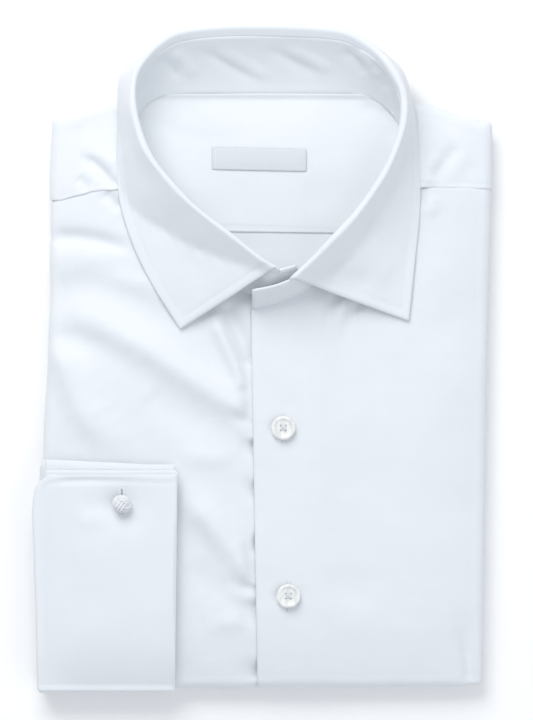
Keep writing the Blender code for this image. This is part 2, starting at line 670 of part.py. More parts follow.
def main():
    clear_scene()
    cotton = material("poplin", COTTON, 0.85)
    inside = material("poplin inside", COTTON_INSIDE, 0.85)
    build_core(material("folded layers", COTTON_INSIDE, 0.9))
    build_body_side(-1, cotton)
    build_body_side(1, cotton)
    build_inside("yoke_inner", INSIDE_SEAM_Y + SEAM_GAP / 2, FLOOR_RANGE[1], 8, inside)
    build_inside("back_inner", FLOOR_RANGE[0], INSIDE_SEAM_Y - SEAM_GAP / 2, 4, inside)
    build_label(material("label satin", LABEL_SATIN, 0.45))
    build_band(cotton)
    build_fall(cotton)
    build_buttons(material("pearl button", PEARL, 0.25))
    build_cuff(cotton)
    build_sleeve(cotton)
    build_link(material("silk knot", SILK, 0.5))


main()
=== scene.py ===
"""A man's long sleeve dress shirt in white poplin with French cuffs, folded for the shelf.

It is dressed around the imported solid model, in metres: +X is the wearer's left, +Y runs from the
hem fold to the collar and the table is Z = 0. Left and right are the wearer's. The pieces follow
as they are put together: folded layers, fronts, yoke, neck, collar, cuff, stitches, buttons, link.
"""

import math

import bpy
import numpy as np
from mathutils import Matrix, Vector


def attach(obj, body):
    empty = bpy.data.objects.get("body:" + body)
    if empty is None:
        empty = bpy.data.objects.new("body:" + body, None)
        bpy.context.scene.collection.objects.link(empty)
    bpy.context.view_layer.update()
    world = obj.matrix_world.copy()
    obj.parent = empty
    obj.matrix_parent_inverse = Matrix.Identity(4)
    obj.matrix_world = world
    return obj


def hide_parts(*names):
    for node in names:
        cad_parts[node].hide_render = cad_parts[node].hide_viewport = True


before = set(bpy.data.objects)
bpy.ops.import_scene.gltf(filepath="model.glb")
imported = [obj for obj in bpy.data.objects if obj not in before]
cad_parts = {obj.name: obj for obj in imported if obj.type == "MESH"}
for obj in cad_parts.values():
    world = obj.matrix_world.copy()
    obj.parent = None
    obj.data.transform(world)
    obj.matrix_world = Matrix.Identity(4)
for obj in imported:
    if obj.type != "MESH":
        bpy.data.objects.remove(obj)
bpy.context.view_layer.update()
scene = bpy.context.scene

# ==== Folded layers
# The back, the tails and the sleeves are folded in under the fronts, as one soft pad of cloth
# about 2 cm high. Only its folded edges show, round the sides, the hem and the shoulders: four
# plies of poplin, none quite in line. Everything else of the body is draped over it.
CROWN_HEIGHT = 0.0200     # top of the fronts in the middle
EDGE_HEIGHT = 0.0128      # the same beside the folds
FOLD_RADIUS = 0.0060      # how far in from the outline the cloth starts to turn
CORNER_POWER = 5          # how square the folded corners are
SIDE_REACH = 0.040        # the crown rises over these distances from the edges
HEM_REACH = 0.046
SHOULDER_REACH = 0.050
SIDE_ROWS = (             # y, x of the right fold, x of the left fold
    (-0.1745, -0.1152, 0.1166),
    (-0.0530, -0.1165, 0.1182),
    (-0.0050, -0.1142, 0.1190),
    (0.0300, -0.1130, 0.1199),
    (0.0845, -0.1126, 0.1211),
    (0.1259, -0.1116, 0.1214),
)
END_ROWS = (              # x, y of the hem fold, y of the shoulder fold
    (-0.1180, -0.1736, 0.1240),
    (-0.1116, -0.1738, 0.1259),
    (-0.0713, -0.1743, 0.1375),
    (0.0000, -0.1744, 0.1385),
    (0.0766, -0.1739, 0.1365),
    (0.1047, -0.1737, 0.1291),
    (0.1169, -0.1712, 0.1256),
    (0.1214, -0.1700, 0.1215),
)
PLY_LEVELS = (0.0000, 0.0021, 0.0040, 0.0058, 0.0076)
PLY_INSETS = (0.0010, 0.0003, 0.0012, 0.0006)
PLY_DEPTH = 0.0016        # how round a ply's fold is
LAYER_TOP_DROP = 0.0056   # the pad stays this far under the fronts
PLY_SHOULDER = ((0.15, 0.0056), (0.55, 0.0064), (1.0, 0.0110))  # share of the way up, inset
COTTON_LIGHT = (0.815, 0.841, 0.852, 1)
COTTON_DARK = (0.738, 0.770, 0.804, 1)
# Painted shade: the inside of the neck and the folded layers take the same poplin painted a little
# darker than the fronts, for the light that falls short there.
INSIDE_SHADED_LIGHT = (0.788, 0.812, 0.822, 1)
INSIDE_SHADED_DARK = (0.712, 0.744, 0.774, 1)


def smooth_path(rows, count):
    """Rows of numbers resampled to count rows along a Catmull-Rom curve."""
    table = np.array(rows, float)
    ends = np.vstack([2 * table[0] - table[1], table, 2 * table[-1] - table[-2]])
    place = np.linspace(0, len(table) - 1, count)
    first = np.minimum(place.astype(int), len(table) - 2)
    t = (place - first)[:, None]
    a, b, c, d = (ends[first + k] for k in range(4))
    curve = 2 * b + (c - a) * t + (2 * a - 5 * b + 4 * c - d) * t ** 2
    return 0.5 * (curve + (3 * b - a - 3 * c + d) * t ** 3)


def column(rows, key, value, smooth=True):
    """Reads one column of a table against another."""
    table = np.array(sorted(rows, key=lambda row: row[key]), float)
    if smooth:
        table = smooth_path(table, 8 * len(table))
    return lambda at: np.interp(at, table[:, key], table[:, value])


right_fold_x = column(SIDE_ROWS, 0, 1)
left_fold_x = column(SIDE_ROWS, 0, 2)
hem_y = column(END_ROWS, 0, 1)
shoulder_y = column(END_ROWS, 0, 2)


def rise(distance, reach):
    """0 at an edge and 1 from reach inwards, as a soft shoulder."""
    return 1 - (1 - np.clip(distance / reach, 0, 1)) ** 2


def crown(x, y):
    """Height of the smooth front over the table."""
    side = rise(x - right_fold_x(y), SIDE_REACH) * rise(left_fold_x(y) - x, SIDE_REACH)
    ends = rise(y - hem_y(x), HEM_REACH) * rise(shoulder_y(x) - y, SHOULDER_REACH)
    return EDGE_HEIGHT + (CROWN_HEIGHT - EDGE_HEIGHT) * side * ends


def unit(vectors):
    return vectors / np.maximum(np.linalg.norm(vectors, axis=-1, keepdims=True), 1e-12)


def body_outline(count):
    """Points round the body's outline, evenly spaced, anticlockwise, and their inward normals."""
    corner = FOLD_RADIUS * (1 - 0.5 ** (1 / CORNER_POWER))
    runs = []
    for x in np.linspace(-0.1090, 0.1100, 40):
        runs.append((x, hem_y(x)))
    runs.append((left_fold_x(-0.17) - corner, hem_y(0.115) + corner))
    for y in np.linspace(-0.1660, 0.1190, 50):
        runs.append((left_fold_x(y), y))
    runs.append((left_fold_x(0.122) - corner, shoulder_y(0.118) - corner))
    for x in np.linspace(0.1130, -0.1050, 40):
        runs.append((x, shoulder_y(x)))
    runs.append((right_fold_x(0.125) + corner, shoulder_y(-0.1105) - corner))
    for y in np.linspace(0.1190, -0.1670, 50):
        runs.append((right_fold_x(y), y))
    runs.append((right_fold_x(-0.17) + corner, hem_y(-0.114) + corner))
    line = np.array(runs + runs[:1])
    length = np.concatenate([[0], np.cumsum(np.linalg.norm(np.diff(line, axis=0), axis=1))])
    at = np.linspace(0, length[-1], count, endpoint=False)
    points = np.stack([np.interp(at, length, line[:, k]) for k in (0, 1)], axis=1)
    ahead = np.roll(points, -3, axis=0) - np.roll(points, 3, axis=0)
    return points, unit(np.stack([-ahead[:, 1], ahead[:, 0]], axis=1)), at


def mesh_piece(name, points, faces, material, uv=None):
    """One object at the origin. uv holds the flat cloth's own coordinates in metres."""
    mesh = bpy.data.meshes.new(name)
    mesh.from_pydata(points.tolist(), [], faces)
    if uv is not None:
        layer = mesh.uv_layers.new(name="Flat")
        corners = np.empty(len(mesh.loops), np.int32)
        mesh.loops.foreach_get("vertex_index", corners)
        layer.data.foreach_set("uv", uv[corners].astype(np.float32).ravel())
    mesh.materials.append(material)
    mesh.shade_smooth()
    mesh.update()
    piece = bpy.data.objects.new(name, mesh)
    scene.collection.objects.link(piece)
    return piece


def belongs(piece, slot, *nodes):
    """Hangs a piece under the root and hides the CAD nodes it stands for. Its finish slot is not
    used.
    """
    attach(piece, "root")
    if nodes:
        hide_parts(*nodes)


class Value:
    """A socket of a node tree, so that its maths reads as an expression."""

    def __init__(self, tree, socket):
        self.tree = tree
        self.socket = socket

    def maths(self, operation, *values):
        return self.tree.add("ShaderNodeMath", {"operation": operation}, dict(enumerate(values)))

    def __add__(self, other):
        return self.maths("ADD", self, other)

    def __sub__(self, other):
        return self.maths("SUBTRACT", self, other)

    def __rsub__(self, other):
        return self.maths("SUBTRACT", other, self)

    def __mul__(self, other):
        return self.maths("MULTIPLY", self, other)

    def __truediv__(self, other):
        return self.maths("DIVIDE", self, other)

    def __rtruediv__(self, other):
        return self.maths("DIVIDE", other, self)

    __radd__ = __add__
    __rmul__ = __mul__

    def sine(self):
        return self.maths("SINE", self)


class Tree:
    """A node tree being made, and the one way to add a node to it."""

    def __init__(self, nodes):
        self.nodes = nodes

    def put(self, socket, value):
        if isinstance(value, Value):
            self.nodes.links.new(value.socket, socket)
        else:
            socket.default_value = value

    def add(self, kind, settings=(), inputs=(), output=0):
        node = self.nodes.nodes.new(kind)
        for setting, value in dict(settings).items():
            setattr(node, setting, value)
        for socket, value in dict(inputs).items():
            self.put(node.inputs[socket], value)
        return Value(self, node.outputs[output]) if node.outputs else node


class Finish(Tree):
    """A material: constants go on the shader's own sockets, and shade() links what varies."""

    def __init__(self, name, **constants):
        self.material = bpy.data.materials.new(name)
        self.material.use_nodes = True
        super().__init__(self.material.node_tree)
        self.shader = self.nodes.nodes["Principled BSDF"]
        for socket, value in constants.items():
            self.shader.inputs[socket.replace("_", " ")].default_value = value

    def flat(self):
        """The flat cloth's own two coordinates, in metres."""
        place = self.add("ShaderNodeUVMap", {"uv_map": "Flat"})
        return [self.add("ShaderNodeSeparateXYZ", {}, {0: place}, k) for k in (0, 1)]

    def noise(self, vector, scale, detail=3.0, roughness=0.5):
        inputs = {"Vector": vector, "Scale": scale, "Detail": detail, "Roughness": roughness}
        return self.add("ShaderNodeTexNoise", {}, inputs)

    def mix(self, factor, first, second):
        colours = {0: factor, 6: first, 7: second}
        return self.add("ShaderNodeMix", {"data_type": "RGBA"}, colours, 2)

    def bump(self, height, strength, distance):
        inputs = {"Strength": strength, "Distance": distance, "Height": height}
        return self.add("ShaderNodeBump", {}, inputs)

    def shade(self, socket, value):
        self.put(self.shader.inputs[socket], value)


THREAD_PITCH = 0.00034


def poplin(name, light, dark, roughness=0.78, weave=1.0):
    """A fine plain weave with a faint rib, slubs, a soft sheen from the iron and a cool white."""
    finish = Finish(name, Sheen_Weight=0.10, Sheen_Roughness=0.45, Specular_IOR_Level=0.28)
    across, along = finish.flat()
    warp = (across * (2 * math.pi / THREAD_PITCH)).sine()
    weft = (along * (2 * math.pi / THREAD_PITCH)).sine()
    weave_height = warp * weft * 0.5 + weft * 0.2
    threads = finish.add("ShaderNodeCombineXYZ", {}, {0: across * 2600, 1: along * 140})
    slub = finish.noise(threads, 1.0, 2.0)
    place = finish.add("ShaderNodeTexCoord", output="Object")
    cloud = finish.noise(place, 38.0, 4.0, 0.6)
    crumple = finish.noise(place, 210.0, 3.0, 0.55)
    tone = cloud * 0.7 + slub * 0.22 + weave_height * 0.12 * weave
    finish.shade("Base Color", finish.mix(tone, dark, light))
    finish.shade("Roughness", slub * 0.08 + (roughness - 0.04))
    height = weave_height * 0.55 * weave + slub * 0.4 + crumple * 0.9
    finish.shade("Normal", finish.bump(height, 0.32, 0.00016))
    return finish.material


# The same poplin painted darker, as painted shade for the inside of the neck and the folded layers.
cotton_inside_shaded = poplin("Inside of the poplin, painted darker as shade", INSIDE_SHADED_LIGHT, INSIDE_SHADED_DARK)


def make_layers():
    """Rings from the table up the plies' folded edges, then over the top of the pad."""
    outline, inward, at = body_outline(520)
    rng = np.random.default_rng(5)
    rings = []
    for ply, inset in enumerate(PLY_INSETS):
        low, high = PLY_LEVELS[ply], PLY_LEVELS[ply + 1]
        wander = sum(np.sin(at * wave + rng.uniform(0, 6)) for wave in (19, 41, 77, 130)) / 4
        for turn in np.radians((-90, -62, -35, -10, 15, 40, 65, 90)):
            level = (low + high) / 2 + (high - low) / 2 * math.sin(turn)
            depth = inset + PLY_DEPTH * (1 - math.cos(turn)) + 0.0004 * (1 + wander)
            ring = outline + inward * depth[:, None]
            sag = 0.00012 * wander * (0 < ply) * math.cos(turn)
            rings.append(np.column_stack([ring, np.full(len(ring), level) + sag]))
    foot = rings[-1]
    for share, inset in PLY_SHOULDER:
        ring = outline + inward * inset
        top = crown(ring[:, 0], ring[:, 1]) - LAYER_TOP_DROP
        rings.append(np.column_stack([ring, foot[:, 2] + share * (top - foot[:, 2])]))
    centre = np.array([0.0, -0.02])
    for scale in (0.85, 0.65, 0.4, 0.15):
        flat = centre + scale * (ring - centre)
        top = crown(flat[:, 0], flat[:, 1]) - LAYER_TOP_DROP
        rings.append(np.column_stack([flat, top]))
    count = len(outline)
    points = np.vstack(rings)
    faces = [list(range(count - 1, -1, -1)), list(range(len(points) - count, len(points)))]
    for i in range(len(rings) - 1):
        a = i * count + np.arange(count)
        b = i * count + (np.arange(count) + 1) % count
        faces += np.stack([a, b, b + count, a + count], axis=1).tolist()
    uv = points[:, :2] + points[:, 2:]
    return mesh_piece("folded_layers_cloth", points, faces, cotton_inside_shaded, uv)


layers = make_layers()
belongs(layers, "poplin_inside", "folded_layers")

# ==== Fronts
# Two panels of poplin. The left one laps over the right one by 35 mm, and its edge is turned
# under twice with no stitching on the face. Both wrap the side folds and the hem fold, and both
# are cut to the collar's seam, so the collar's lines are drafted here too.
FRONT_EDGE = ((0.0262, -0.0060), (-0.1745, -0.0025))  # y, x
FRONT_OVERLAP = 0.035
FRONT_LIFT = 0.0014       # the left front rides this far over the right one
LIFT_FADE = 0.024
FRONT_CLOTH = 0.0007
YOKE_CLOTH = 0.0008
DEEPEST_FOLD = 0.0042     # no trough of the right front goes deeper
HEM_TUCK = 0.0020         # how far the right front's hem fold stays inside the left one's
FOLD_HEIGHT = 0.0100      # where the fold reaches furthest out
FOLD_FOOT = 0.0076        # how low it curls under
FOLD_TURN = math.radians(150)
# Collar sections run from the wearer's right point round the back to the left point: x, y of the
# neck seam, x, y, z of the roll line, and x, y, z of the leaf's free edge.
COLLAR_ROWS = (
    (0.0010, 0.0325, 0.0078, 0.0488, 0.0425, -0.0437, 0.0167, 0.0218),
    (-0.0130, 0.0372, -0.0024, 0.0553, 0.0434, -0.0505, 0.0272, 0.0220),
    (-0.0290, 0.0510, -0.0173, 0.0672, 0.0441, -0.0592, 0.0414, 0.0220),
    (-0.0450, 0.0672, -0.0345, 0.0806, 0.0441, -0.0682, 0.0600, 0.0218),
    (-0.0575, 0.0842, -0.0489, 0.0950, 0.0434, -0.0748, 0.0806, 0.0212),
    (-0.0660, 0.1030, -0.0601, 0.1106, 0.0424, -0.0775, 0.1002, 0.0202),
    (-0.0690, 0.1190, -0.0660, 0.1275, 0.0405, -0.0770, 0.1190, 0.0189),
    (-0.0660, 0.1310, -0.0682, 0.1428, 0.0387, -0.0752, 0.1400, 0.0140),
    (-0.0588, 0.1380, -0.0652, 0.1556, 0.0370, -0.0690, 0.1470, 0.0060),
    (-0.0490, 0.1412, -0.0545, 0.1680, 0.0340, -0.0560, 0.1510, 0.0026),
    (-0.0360, 0.1418, -0.0386, 0.1750, 0.0325, -0.0385, 0.1525, 0.0018),
    (0.0000, 0.1418, 0.0010, 0.1772, 0.0315, 0.0010, 0.1525, 0.0018),
    (0.0360, 0.1418, 0.0386, 0.1748, 0.0325, 0.0400, 0.1525, 0.0018),
    (0.0490, 0.1414, 0.0546, 0.1680, 0.0340, 0.0575, 0.1510, 0.0026),
    (0.0600, 0.1382, 0.0664, 0.1566, 0.0370, 0.0712, 0.1468, 0.0060),
    (0.0688, 0.1315, 0.0728, 0.1440, 0.0387, 0.0790, 0.1395, 0.0140),
    (0.0745, 0.1220, 0.0740, 0.1322, 0.0405, 0.0822, 0.1210, 0.0184),
    (0.0752, 0.1065, 0.0708, 0.1161, 0.0424, 0.0836, 0.0990, 0.0204),
    (0.0690, 0.0880, 0.0622, 0.0975, 0.0434, 0.0830, 0.0766, 0.0214),
    (0.0575, 0.0700, 0.0490, 0.0784, 0.0441, 0.0808, 0.0554, 0.0218),
    (0.0410, 0.0515, 0.0332, 0.0610, 0.0445, 0.0788, 0.0368, 0.0220),
    (0.0225, 0.0355, 0.0150, 0.0434, 0.0441, 0.0771, 0.0209, 0.0218),
)
BACK_SEAM_HEIGHT = 0.0106  # how high the neck seam lies behind the neck
BACK_SEAM_ROWS = (8, 14)  # rows whose seam is at that height
SEAM_CLIMB = 3            # rows on either side over which it climbs onto the shoulder
# The ends of the stand past the leaf: x, y, z of the seam and x, y, z of the top edge.
BAND_UNDER_END = ((0.0190, 0.0384, 0.0222, 0.0175, 0.0490, 0.0392),)
BAND_TAB = (
    (0.0080, 0.0293, 0.0204, 0.0068, 0.0384, 0.0402),
    (-0.0052, 0.0262, 0.0202, -0.0048, 0.0360, 0.0386),
)
COLLAR_COUNT = 241        # sections that the collar is built with
COLLAR_MIDDLE = COLLAR_COUNT // 2
YOKE_SEAM = (             # x, y
    (-0.1400, 0.0740), (-0.1115, 0.0838), (-0.0968, 0.0882), (-0.0772, 0.0911), (0.0000, 0.0925),
    (0.0839, 0.0921), (0.1205, 0.0914), (0.1500, 0.0905),
)
# A pressed shirt keeps soft troughs and ridges where it was folded and handled. Each is a row:
# height (a trough is below 0), width on its left and right side, the share of its length over
# which it fades in and out, and the points that it runs through.
RIGHT_FRONT_FOLDS = (
    # from the side fold towards the buttons
    (-0.0040, 0.0042, 0.0028, 0.0, 0.2,
     (-0.1180, 0.0640), (-0.1117, 0.0642), (-0.0989, 0.0642), (-0.0862, 0.0620), (-0.0650, 0.0570)),
    (0.0012, 0.0050, 0.0090, 0.0, 0.4, (-0.1180, 0.0530), (-0.0950, 0.0535), (-0.0720, 0.0490)),
    (0.0050, 0.0085, 0.0085, 0.40, 0.0,
     (-0.1120, 0.0230), (-0.0950, 0.0215), (-0.0700, 0.0100), (-0.0480, -0.0030),
     (-0.0250, -0.0180), (-0.0060, -0.0290)),
    (-0.0026, 0.0070, 0.0080, 0.0, 0.5,
     (-0.1180, 0.0095), (-0.1074, 0.0110), (-0.0870, 0.0070), (-0.0660, -0.0020)),
    (-0.0020, 0.0080, 0.0090, 0.0, 0.3,
     (-0.1180, 0.0350), (-0.0900, 0.0380), (-0.0600, 0.0250), (-0.0340, 0.0080)),
    (0.0039, 0.0100, 0.0080, 0.0, 0.5,
     (-0.1170, 0.0120), (-0.1060, -0.0010), (-0.0930, -0.0310), (-0.0800, -0.0400),
     (-0.0570, -0.0470)),
    (-0.0012, 0.0080, 0.0080, 0.1, 0.4, (-0.0620, -0.0190), (-0.0400, -0.0320), (-0.0180, -0.0420)),
    # below the collar
    (0.0034, 0.0030, 0.0044, 0.2, 0.1,
     (-0.0277, 0.0275), (-0.0224, 0.0143), (-0.0187, 0.0063), (-0.0134, -0.0053),
     (-0.0080, -0.0180)),
    (-0.0039, 0.0040, 0.0030, 0.2, 0.0,
     (-0.0204, 0.0310), (-0.0162, 0.0213), (-0.0109, 0.0097), (-0.0070, 0.0010)),
    # from beside the cuff down to the buttons
    (0.0041, 0.0080, 0.0078, 0.3, 0.0,
     (-0.0480, -0.0640), (-0.0340, -0.0790), (-0.0230, -0.0920), (-0.0110, -0.1080),
     (-0.0035, -0.1160)),
    (-0.0015, 0.0070, 0.0070, 0.3, 0.3, (-0.0400, -0.1060), (-0.0280, -0.1190), (-0.0150, -0.1270)),
    (0.0015, 0.0060, 0.0060, 0.5, 0.2, (-0.0360, -0.1440), (-0.0200, -0.1400), (-0.0080, -0.1350)),
    (-0.0022, 0.0026, 0.0026, 0.2, 0.1, (-0.0850, 0.0890), (-0.0800, 0.0845), (-0.0750, 0.0800)),
    (0.0012, 0.0050, 0.0060, 0.3, 0.5, (-0.0480, -0.0500), (-0.0250, -0.0520), (-0.0060, -0.0450)),
    (0.0011, 0.0050, 0.0060, 0.3, 0.5, (-0.0880, 0.0420), (-0.0640, 0.0400), (-0.0440, 0.0300)),
    # hollows beside the left front's edge
    (-0.0044, 0.0036, 0.0036, 0.7, 0.0, (-0.0200, -0.0262), (-0.0110, -0.0312), (-0.0028, -0.0326)),
    (-0.0034, 0.0032, 0.0048, 0.8, 0.0, (-0.0150, -0.0420), (-0.0080, -0.0448), (-0.0028, -0.0460)),
    (-0.0026, 0.0034, 0.0050, 0.8, 0.0, (-0.0120, -0.0620), (-0.0070, -0.0660), (-0.0030, -0.0690)),
    (-0.0026, 0.0060, 0.0080, 0.8, 0.0, (-0.0090, -0.0940), (-0.0050, -0.0960), (-0.0025, -0.0970)),
    (-0.0040, 0.0044, 0.0044, 0.7, 0.0, (-0.0190, -0.1150), (-0.0110, -0.1195), (-0.0026, -0.1210)),
    (-0.0044, 0.0054, 0.0062, 0.8, 0.0, (-0.0240, -0.1270), (-0.0120, -0.1310), (-0.0024, -0.1330)),
    (-0.0028, 0.0050, 0.0060, 0.8, 0.0, (-0.0140, -0.1600), (-0.0070, -0.1640), (-0.0020, -0.1660)),
)
LEFT_FRONT_FOLDS = (
    # where the turned edge ends inside
    (-0.0002, 0.0014, 0.0016, 0.1, 0.1, (0.0270, 0.0200), (0.0282, -0.0600), (0.0300, -0.1660)),
    # below the collar point and the yoke
    (-0.0022, 0.0030, 0.0026, 0.0, 0.6, (0.0375, 0.0330), (0.0352, 0.0260), (0.0330, 0.0110)),
    (-0.0024, 0.0034, 0.0028, 0.0, 0.6, (0.0500, 0.0290), (0.0468, 0.0230), (0.0430, 0.0080)),
    (0.0012, 0.0030, 0.0030, 0.0, 0.6, (0.0435, 0.0310), (0.0412, 0.0250), (0.0385, 0.0130)),
    (-0.0014, 0.0030, 0.0040, 0.0, 0.4, (0.0850, 0.0920), (0.0850, 0.0860), (0.0862, 0.0800)),
    (0.0012, 0.0040, 0.0040, 0.2, 0.4, (0.0900, 0.0880), (0.0900, 0.0800), (0.0915, 0.0740)),
    # at the fold of the side and the hem
    (-0.0022, 0.0060, 0.0034, 0.5, 0.2,
     (0.1000, -0.1250), (0.1060, -0.1450), (0.1100, -0.1640), (0.1085, -0.1760)),
    (0.0014, 0.0032, 0.0030, 0.4, 0.2, (0.1125, -0.1430), (0.1145, -0.1560), (0.1150, -0.1700)),
    # slow swells
    (-0.0008, 0.0130, 0.0130, 0.4, 0.4, (0.1160, 0.0400), (0.0980, 0.0180), (0.0830, -0.0060)),
    (0.0006, 0.0130, 0.0120, 0.4, 0.4, (0.1180, 0.0050), (0.1000, -0.0220), (0.0850, -0.0480)),
    (-0.0007, 0.0120, 0.0130, 0.4, 0.4, (0.1190, -0.0660), (0.1000, -0.0780), (0.0740, -0.0840)),
    (-0.0006, 0.0120, 0.0130, 0.4, 0.4, (0.0300, -0.0500), (0.0480, -0.0620), (0.0640, -0.0820)),
    (-0.0008, 0.0100, 0.0110, 0.4, 0.4, (0.0240, -0.1230), (0.0420, -0.1200), (0.0620, -0.1250)),
    (0.0006, 0.0100, 0.0110, 0.4, 0.4, (0.0260, -0.1400), (0.0500, -0.1380), (0.0760, -0.1450)),
    # the button row draws the edge in a little
    (-0.0012, 0.0030, 0.0040, 0.4, 0.4, (0.0000, -0.0345), (0.0109, -0.0363), (0.0230, -0.0390)),
    (-0.0012, 0.0035, 0.0030, 0.4, 0.4, (0.0020, -0.1240), (0.0136, -0.1253), (0.0260, -0.1235)),
)
cotton = poplin("White poplin", COTTON_LIGHT, COTTON_DARK)
front_edge_x = column(FRONT_EDGE, 0, 1, smooth=False)
yoke_seam_y = column(YOKE_SEAM, 0, 1)


def drape(u, v, lift=0.0, tuck=0.0):
    """Lays the flat cloth's points (u, v) over the body and round its folds."""
    x = np.clip(u, right_fold_x(v) + FOLD_RADIUS, left_fold_x(v) - FOLD_RADIUS)
    y = np.clip(v, hem_y(x) + FOLD_RADIUS, shoulder_y(x) - FOLD_RADIUS)
    over_x, over_y = (u - x) / FOLD_RADIUS, (v - y) / FOLD_RADIUS
    turn = (np.abs(over_x) ** CORNER_POWER + np.abs(over_y) ** CORNER_POWER) ** (1 / CORNER_POWER)
    angle = np.minimum(turn, FOLD_TURN) * (1 - 0.3 * tuck)
    top = crown(x, y) + lift
    out = np.where(turn > 1e-9, np.sin(angle) / np.maximum(turn, 1e-9), 1.0)
    out = out * (FOLD_RADIUS - HEM_TUCK * tuck)
    drop = np.where(angle < math.pi / 2, top - FOLD_HEIGHT, FOLD_HEIGHT - FOLD_FOOT)
    height = FOLD_HEIGHT + drop * np.cos(angle)
    return np.stack([x + out * over_x, y + out * over_y, height], axis=-1)


def folds(table, x, y):
    """Summed height of a table's folds at the points (x, y)."""
    total = np.zeros(np.shape(x))
    place = np.stack([np.ravel(x), np.ravel(y)], axis=1)
    for height, left, right, fade_in, fade_out, *path in table:
        line = smooth_path(path, 12)
        start, along = line[:-1], np.diff(line, axis=0)
        to = place[:, None, :] - start[None]
        share = np.clip((to * along).sum(2) / (along ** 2).sum(1), 0, 1)
        away = to - share[..., None] * along[None]
        distance = np.sqrt((away ** 2).sum(2))
        nearest = distance.argmin(1)
        pick = np.arange(len(place))
        ahead, off = along[nearest], away[pick, nearest]
        side = ahead[:, 0] * off[:, 1] - ahead[:, 1] * off[:, 0]
        width = np.where(side > 0, left, right)
        at = (nearest + share[pick, nearest]) / len(along)
        taper = np.ones(len(at))
        if fade_in:
            taper = taper * np.clip(at / fade_in, 0, 1) ** 1.5
        if fade_out:
            taper = taper * np.clip((1 - at) / fade_out, 0, 1) ** 1.5
        bump = height * taper * np.exp(-((distance[pick, nearest] / width) ** 2))
        total += bump.reshape(np.shape(x))
    return total


def soft_step(share):
    """0 up to 0, 1 from 1, and a smooth climb between them."""
    share = np.clip(share, 0, 1)
    return share * share * (3 - 2 * share)


def undulation(x, y, seed, height, length):
    """The slight unevenness of cloth that was pressed and then handled."""
    rng = np.random.default_rng(seed)
    total = np.zeros(np.shape(x))
    for _ in range(9):
        angle, phase = rng.uniform(0, 2 * math.pi, 2)
        wave = 2 * math.pi / (length * rng.uniform(0.6, 1.7))
        total += np.sin(wave * (x * math.cos(angle) + y * math.sin(angle)) + phase)
    return height * total / 3


def grid_normals(grid):
    return unit(np.cross(np.gradient(grid, axis=1), np.gradient(grid, axis=0)))


def raised(grid, height):
    """The grid moved out along its own normals."""
    return grid + grid_normals(grid) * np.asarray(height)[..., None]


def rim_of(rows, columns):
    """Places of a grid's border points, in order round it."""
    rim = list(range(columns))
    rim += [i * columns + columns - 1 for i in range(1, rows)]
    rim += [(rows - 1) * columns + j for j in range(columns - 2, -1, -1)]
    rim += [i * columns for i in range(rows - 2, 0, -1)]
    return np.array(rim)


def cloth_shell(name, grid, thickness, flat, material):
    """A thin closed shell with a rounded edge, from a grid of points on its outer face."""
    rows, columns = grid.shape[:2]
    count = rows * columns
    inner = grid - thickness * grid_normals(grid)
    out_row, out_column = unit(np.gradient(grid, axis=0)), unit(np.gradient(grid, axis=1))
    outward = np.zeros_like(grid)
    outward[0] -= out_row[0]
    outward[-1] += out_row[-1]
    outward[:, 0] -= out_column[:, 0]
    outward[:, -1] += out_column[:, -1]
    rim = rim_of(rows, columns)
    middle = ((grid + inner) / 2 + unit(outward) * thickness * 0.55).reshape(-1, 3)[rim]
    points = np.vstack([grid.reshape(-1, 3), inner.reshape(-1, 3), middle])
    index = np.arange(count).reshape(rows, columns)
    a, b = index[:-1, :-1].ravel(), index[:-1, 1:].ravel()
    c, d = index[1:, 1:].ravel(), index[1:, :-1].ravel()
    faces = np.stack([a, b, c, d], axis=1).tolist()
    faces += (np.stack([d, c, b, a], axis=1) + count).tolist()
    place = np.arange(len(rim))
    after = np.roll(place, -1)
    first, last = rim[place], rim[after]
    low, high = 2 * count + place, 2 * count + after
    faces += np.stack([last, first, low, high], axis=1).tolist()
    faces += np.stack([high, low, first + count, last + count], axis=1).tolist()
    uv = np.stack(flat, axis=-1).reshape(-1, 2)
    uv = np.vstack([uv, uv, uv[rim]])
    return mesh_piece(name, points, faces, material, uv)


def front_lift(x, y):
    """How far the left front rides over the right one."""
    past = x - front_edge_x(y)
    return np.where(past > -1e-6, FRONT_LIFT * (1 - rise(past - FRONT_OVERLAP, LIFT_FADE)), 0.0)


def collar_table():
    """Collar sections with the seam's height put in: seam, roll and edge, three columns each."""
    rows = []
    for k, row in enumerate(COLLAR_ROWS):
        x, y = row[:2]
        on_body = crown(x, y) + front_lift(x, y) + 0.0004
        share = min(max(BACK_SEAM_ROWS[0] - k, k - BACK_SEAM_ROWS[1], 0) / SEAM_CLIMB, 1.0)
        seam_height = BACK_SEAM_HEIGHT + (on_body - BACK_SEAM_HEIGHT) * share
        rows.append(row[:2] + (float(seam_height),) + row[2:])
    return smooth_path(rows, COLLAR_COUNT)


collar_rows = collar_table()


def neckline(side, outside):
    """Plan of the neck seam on one side, from the front to the middle of the back."""
    if side < 0:
        ends, seam = BAND_UNDER_END, collar_rows[:COLLAR_MIDDLE + 1]
    else:
        ends, seam = BAND_TAB[::-1], collar_rows[:COLLAR_MIDDLE - 1:-1]
    line = np.vstack([np.array(ends)[:, :2], seam[:, :2]])
    ahead = np.gradient(line, axis=0)
    return line + outside * unit(np.stack([ahead[:, 1], -ahead[:, 0]], axis=1) * side)


def fold_steps(count):
    """Distances past the last flat point, round a fold."""
    return FOLD_RADIUS * FOLD_TURN * np.linspace(0, 1, count + 1)[1:]


def front_top(u, side):
    """Where a front ends: at the neckline, or under the yoke seam beside it."""
    line = neckline(side, -0.0005)
    climb = line[: int(np.argmax(side * line[:, 0]))]
    order = np.argsort(climb[:, 0])
    neck = np.interp(u, climb[order, 0], climb[order, 1])
    return np.minimum(neck, yoke_seam_y(u) + 0.0018)


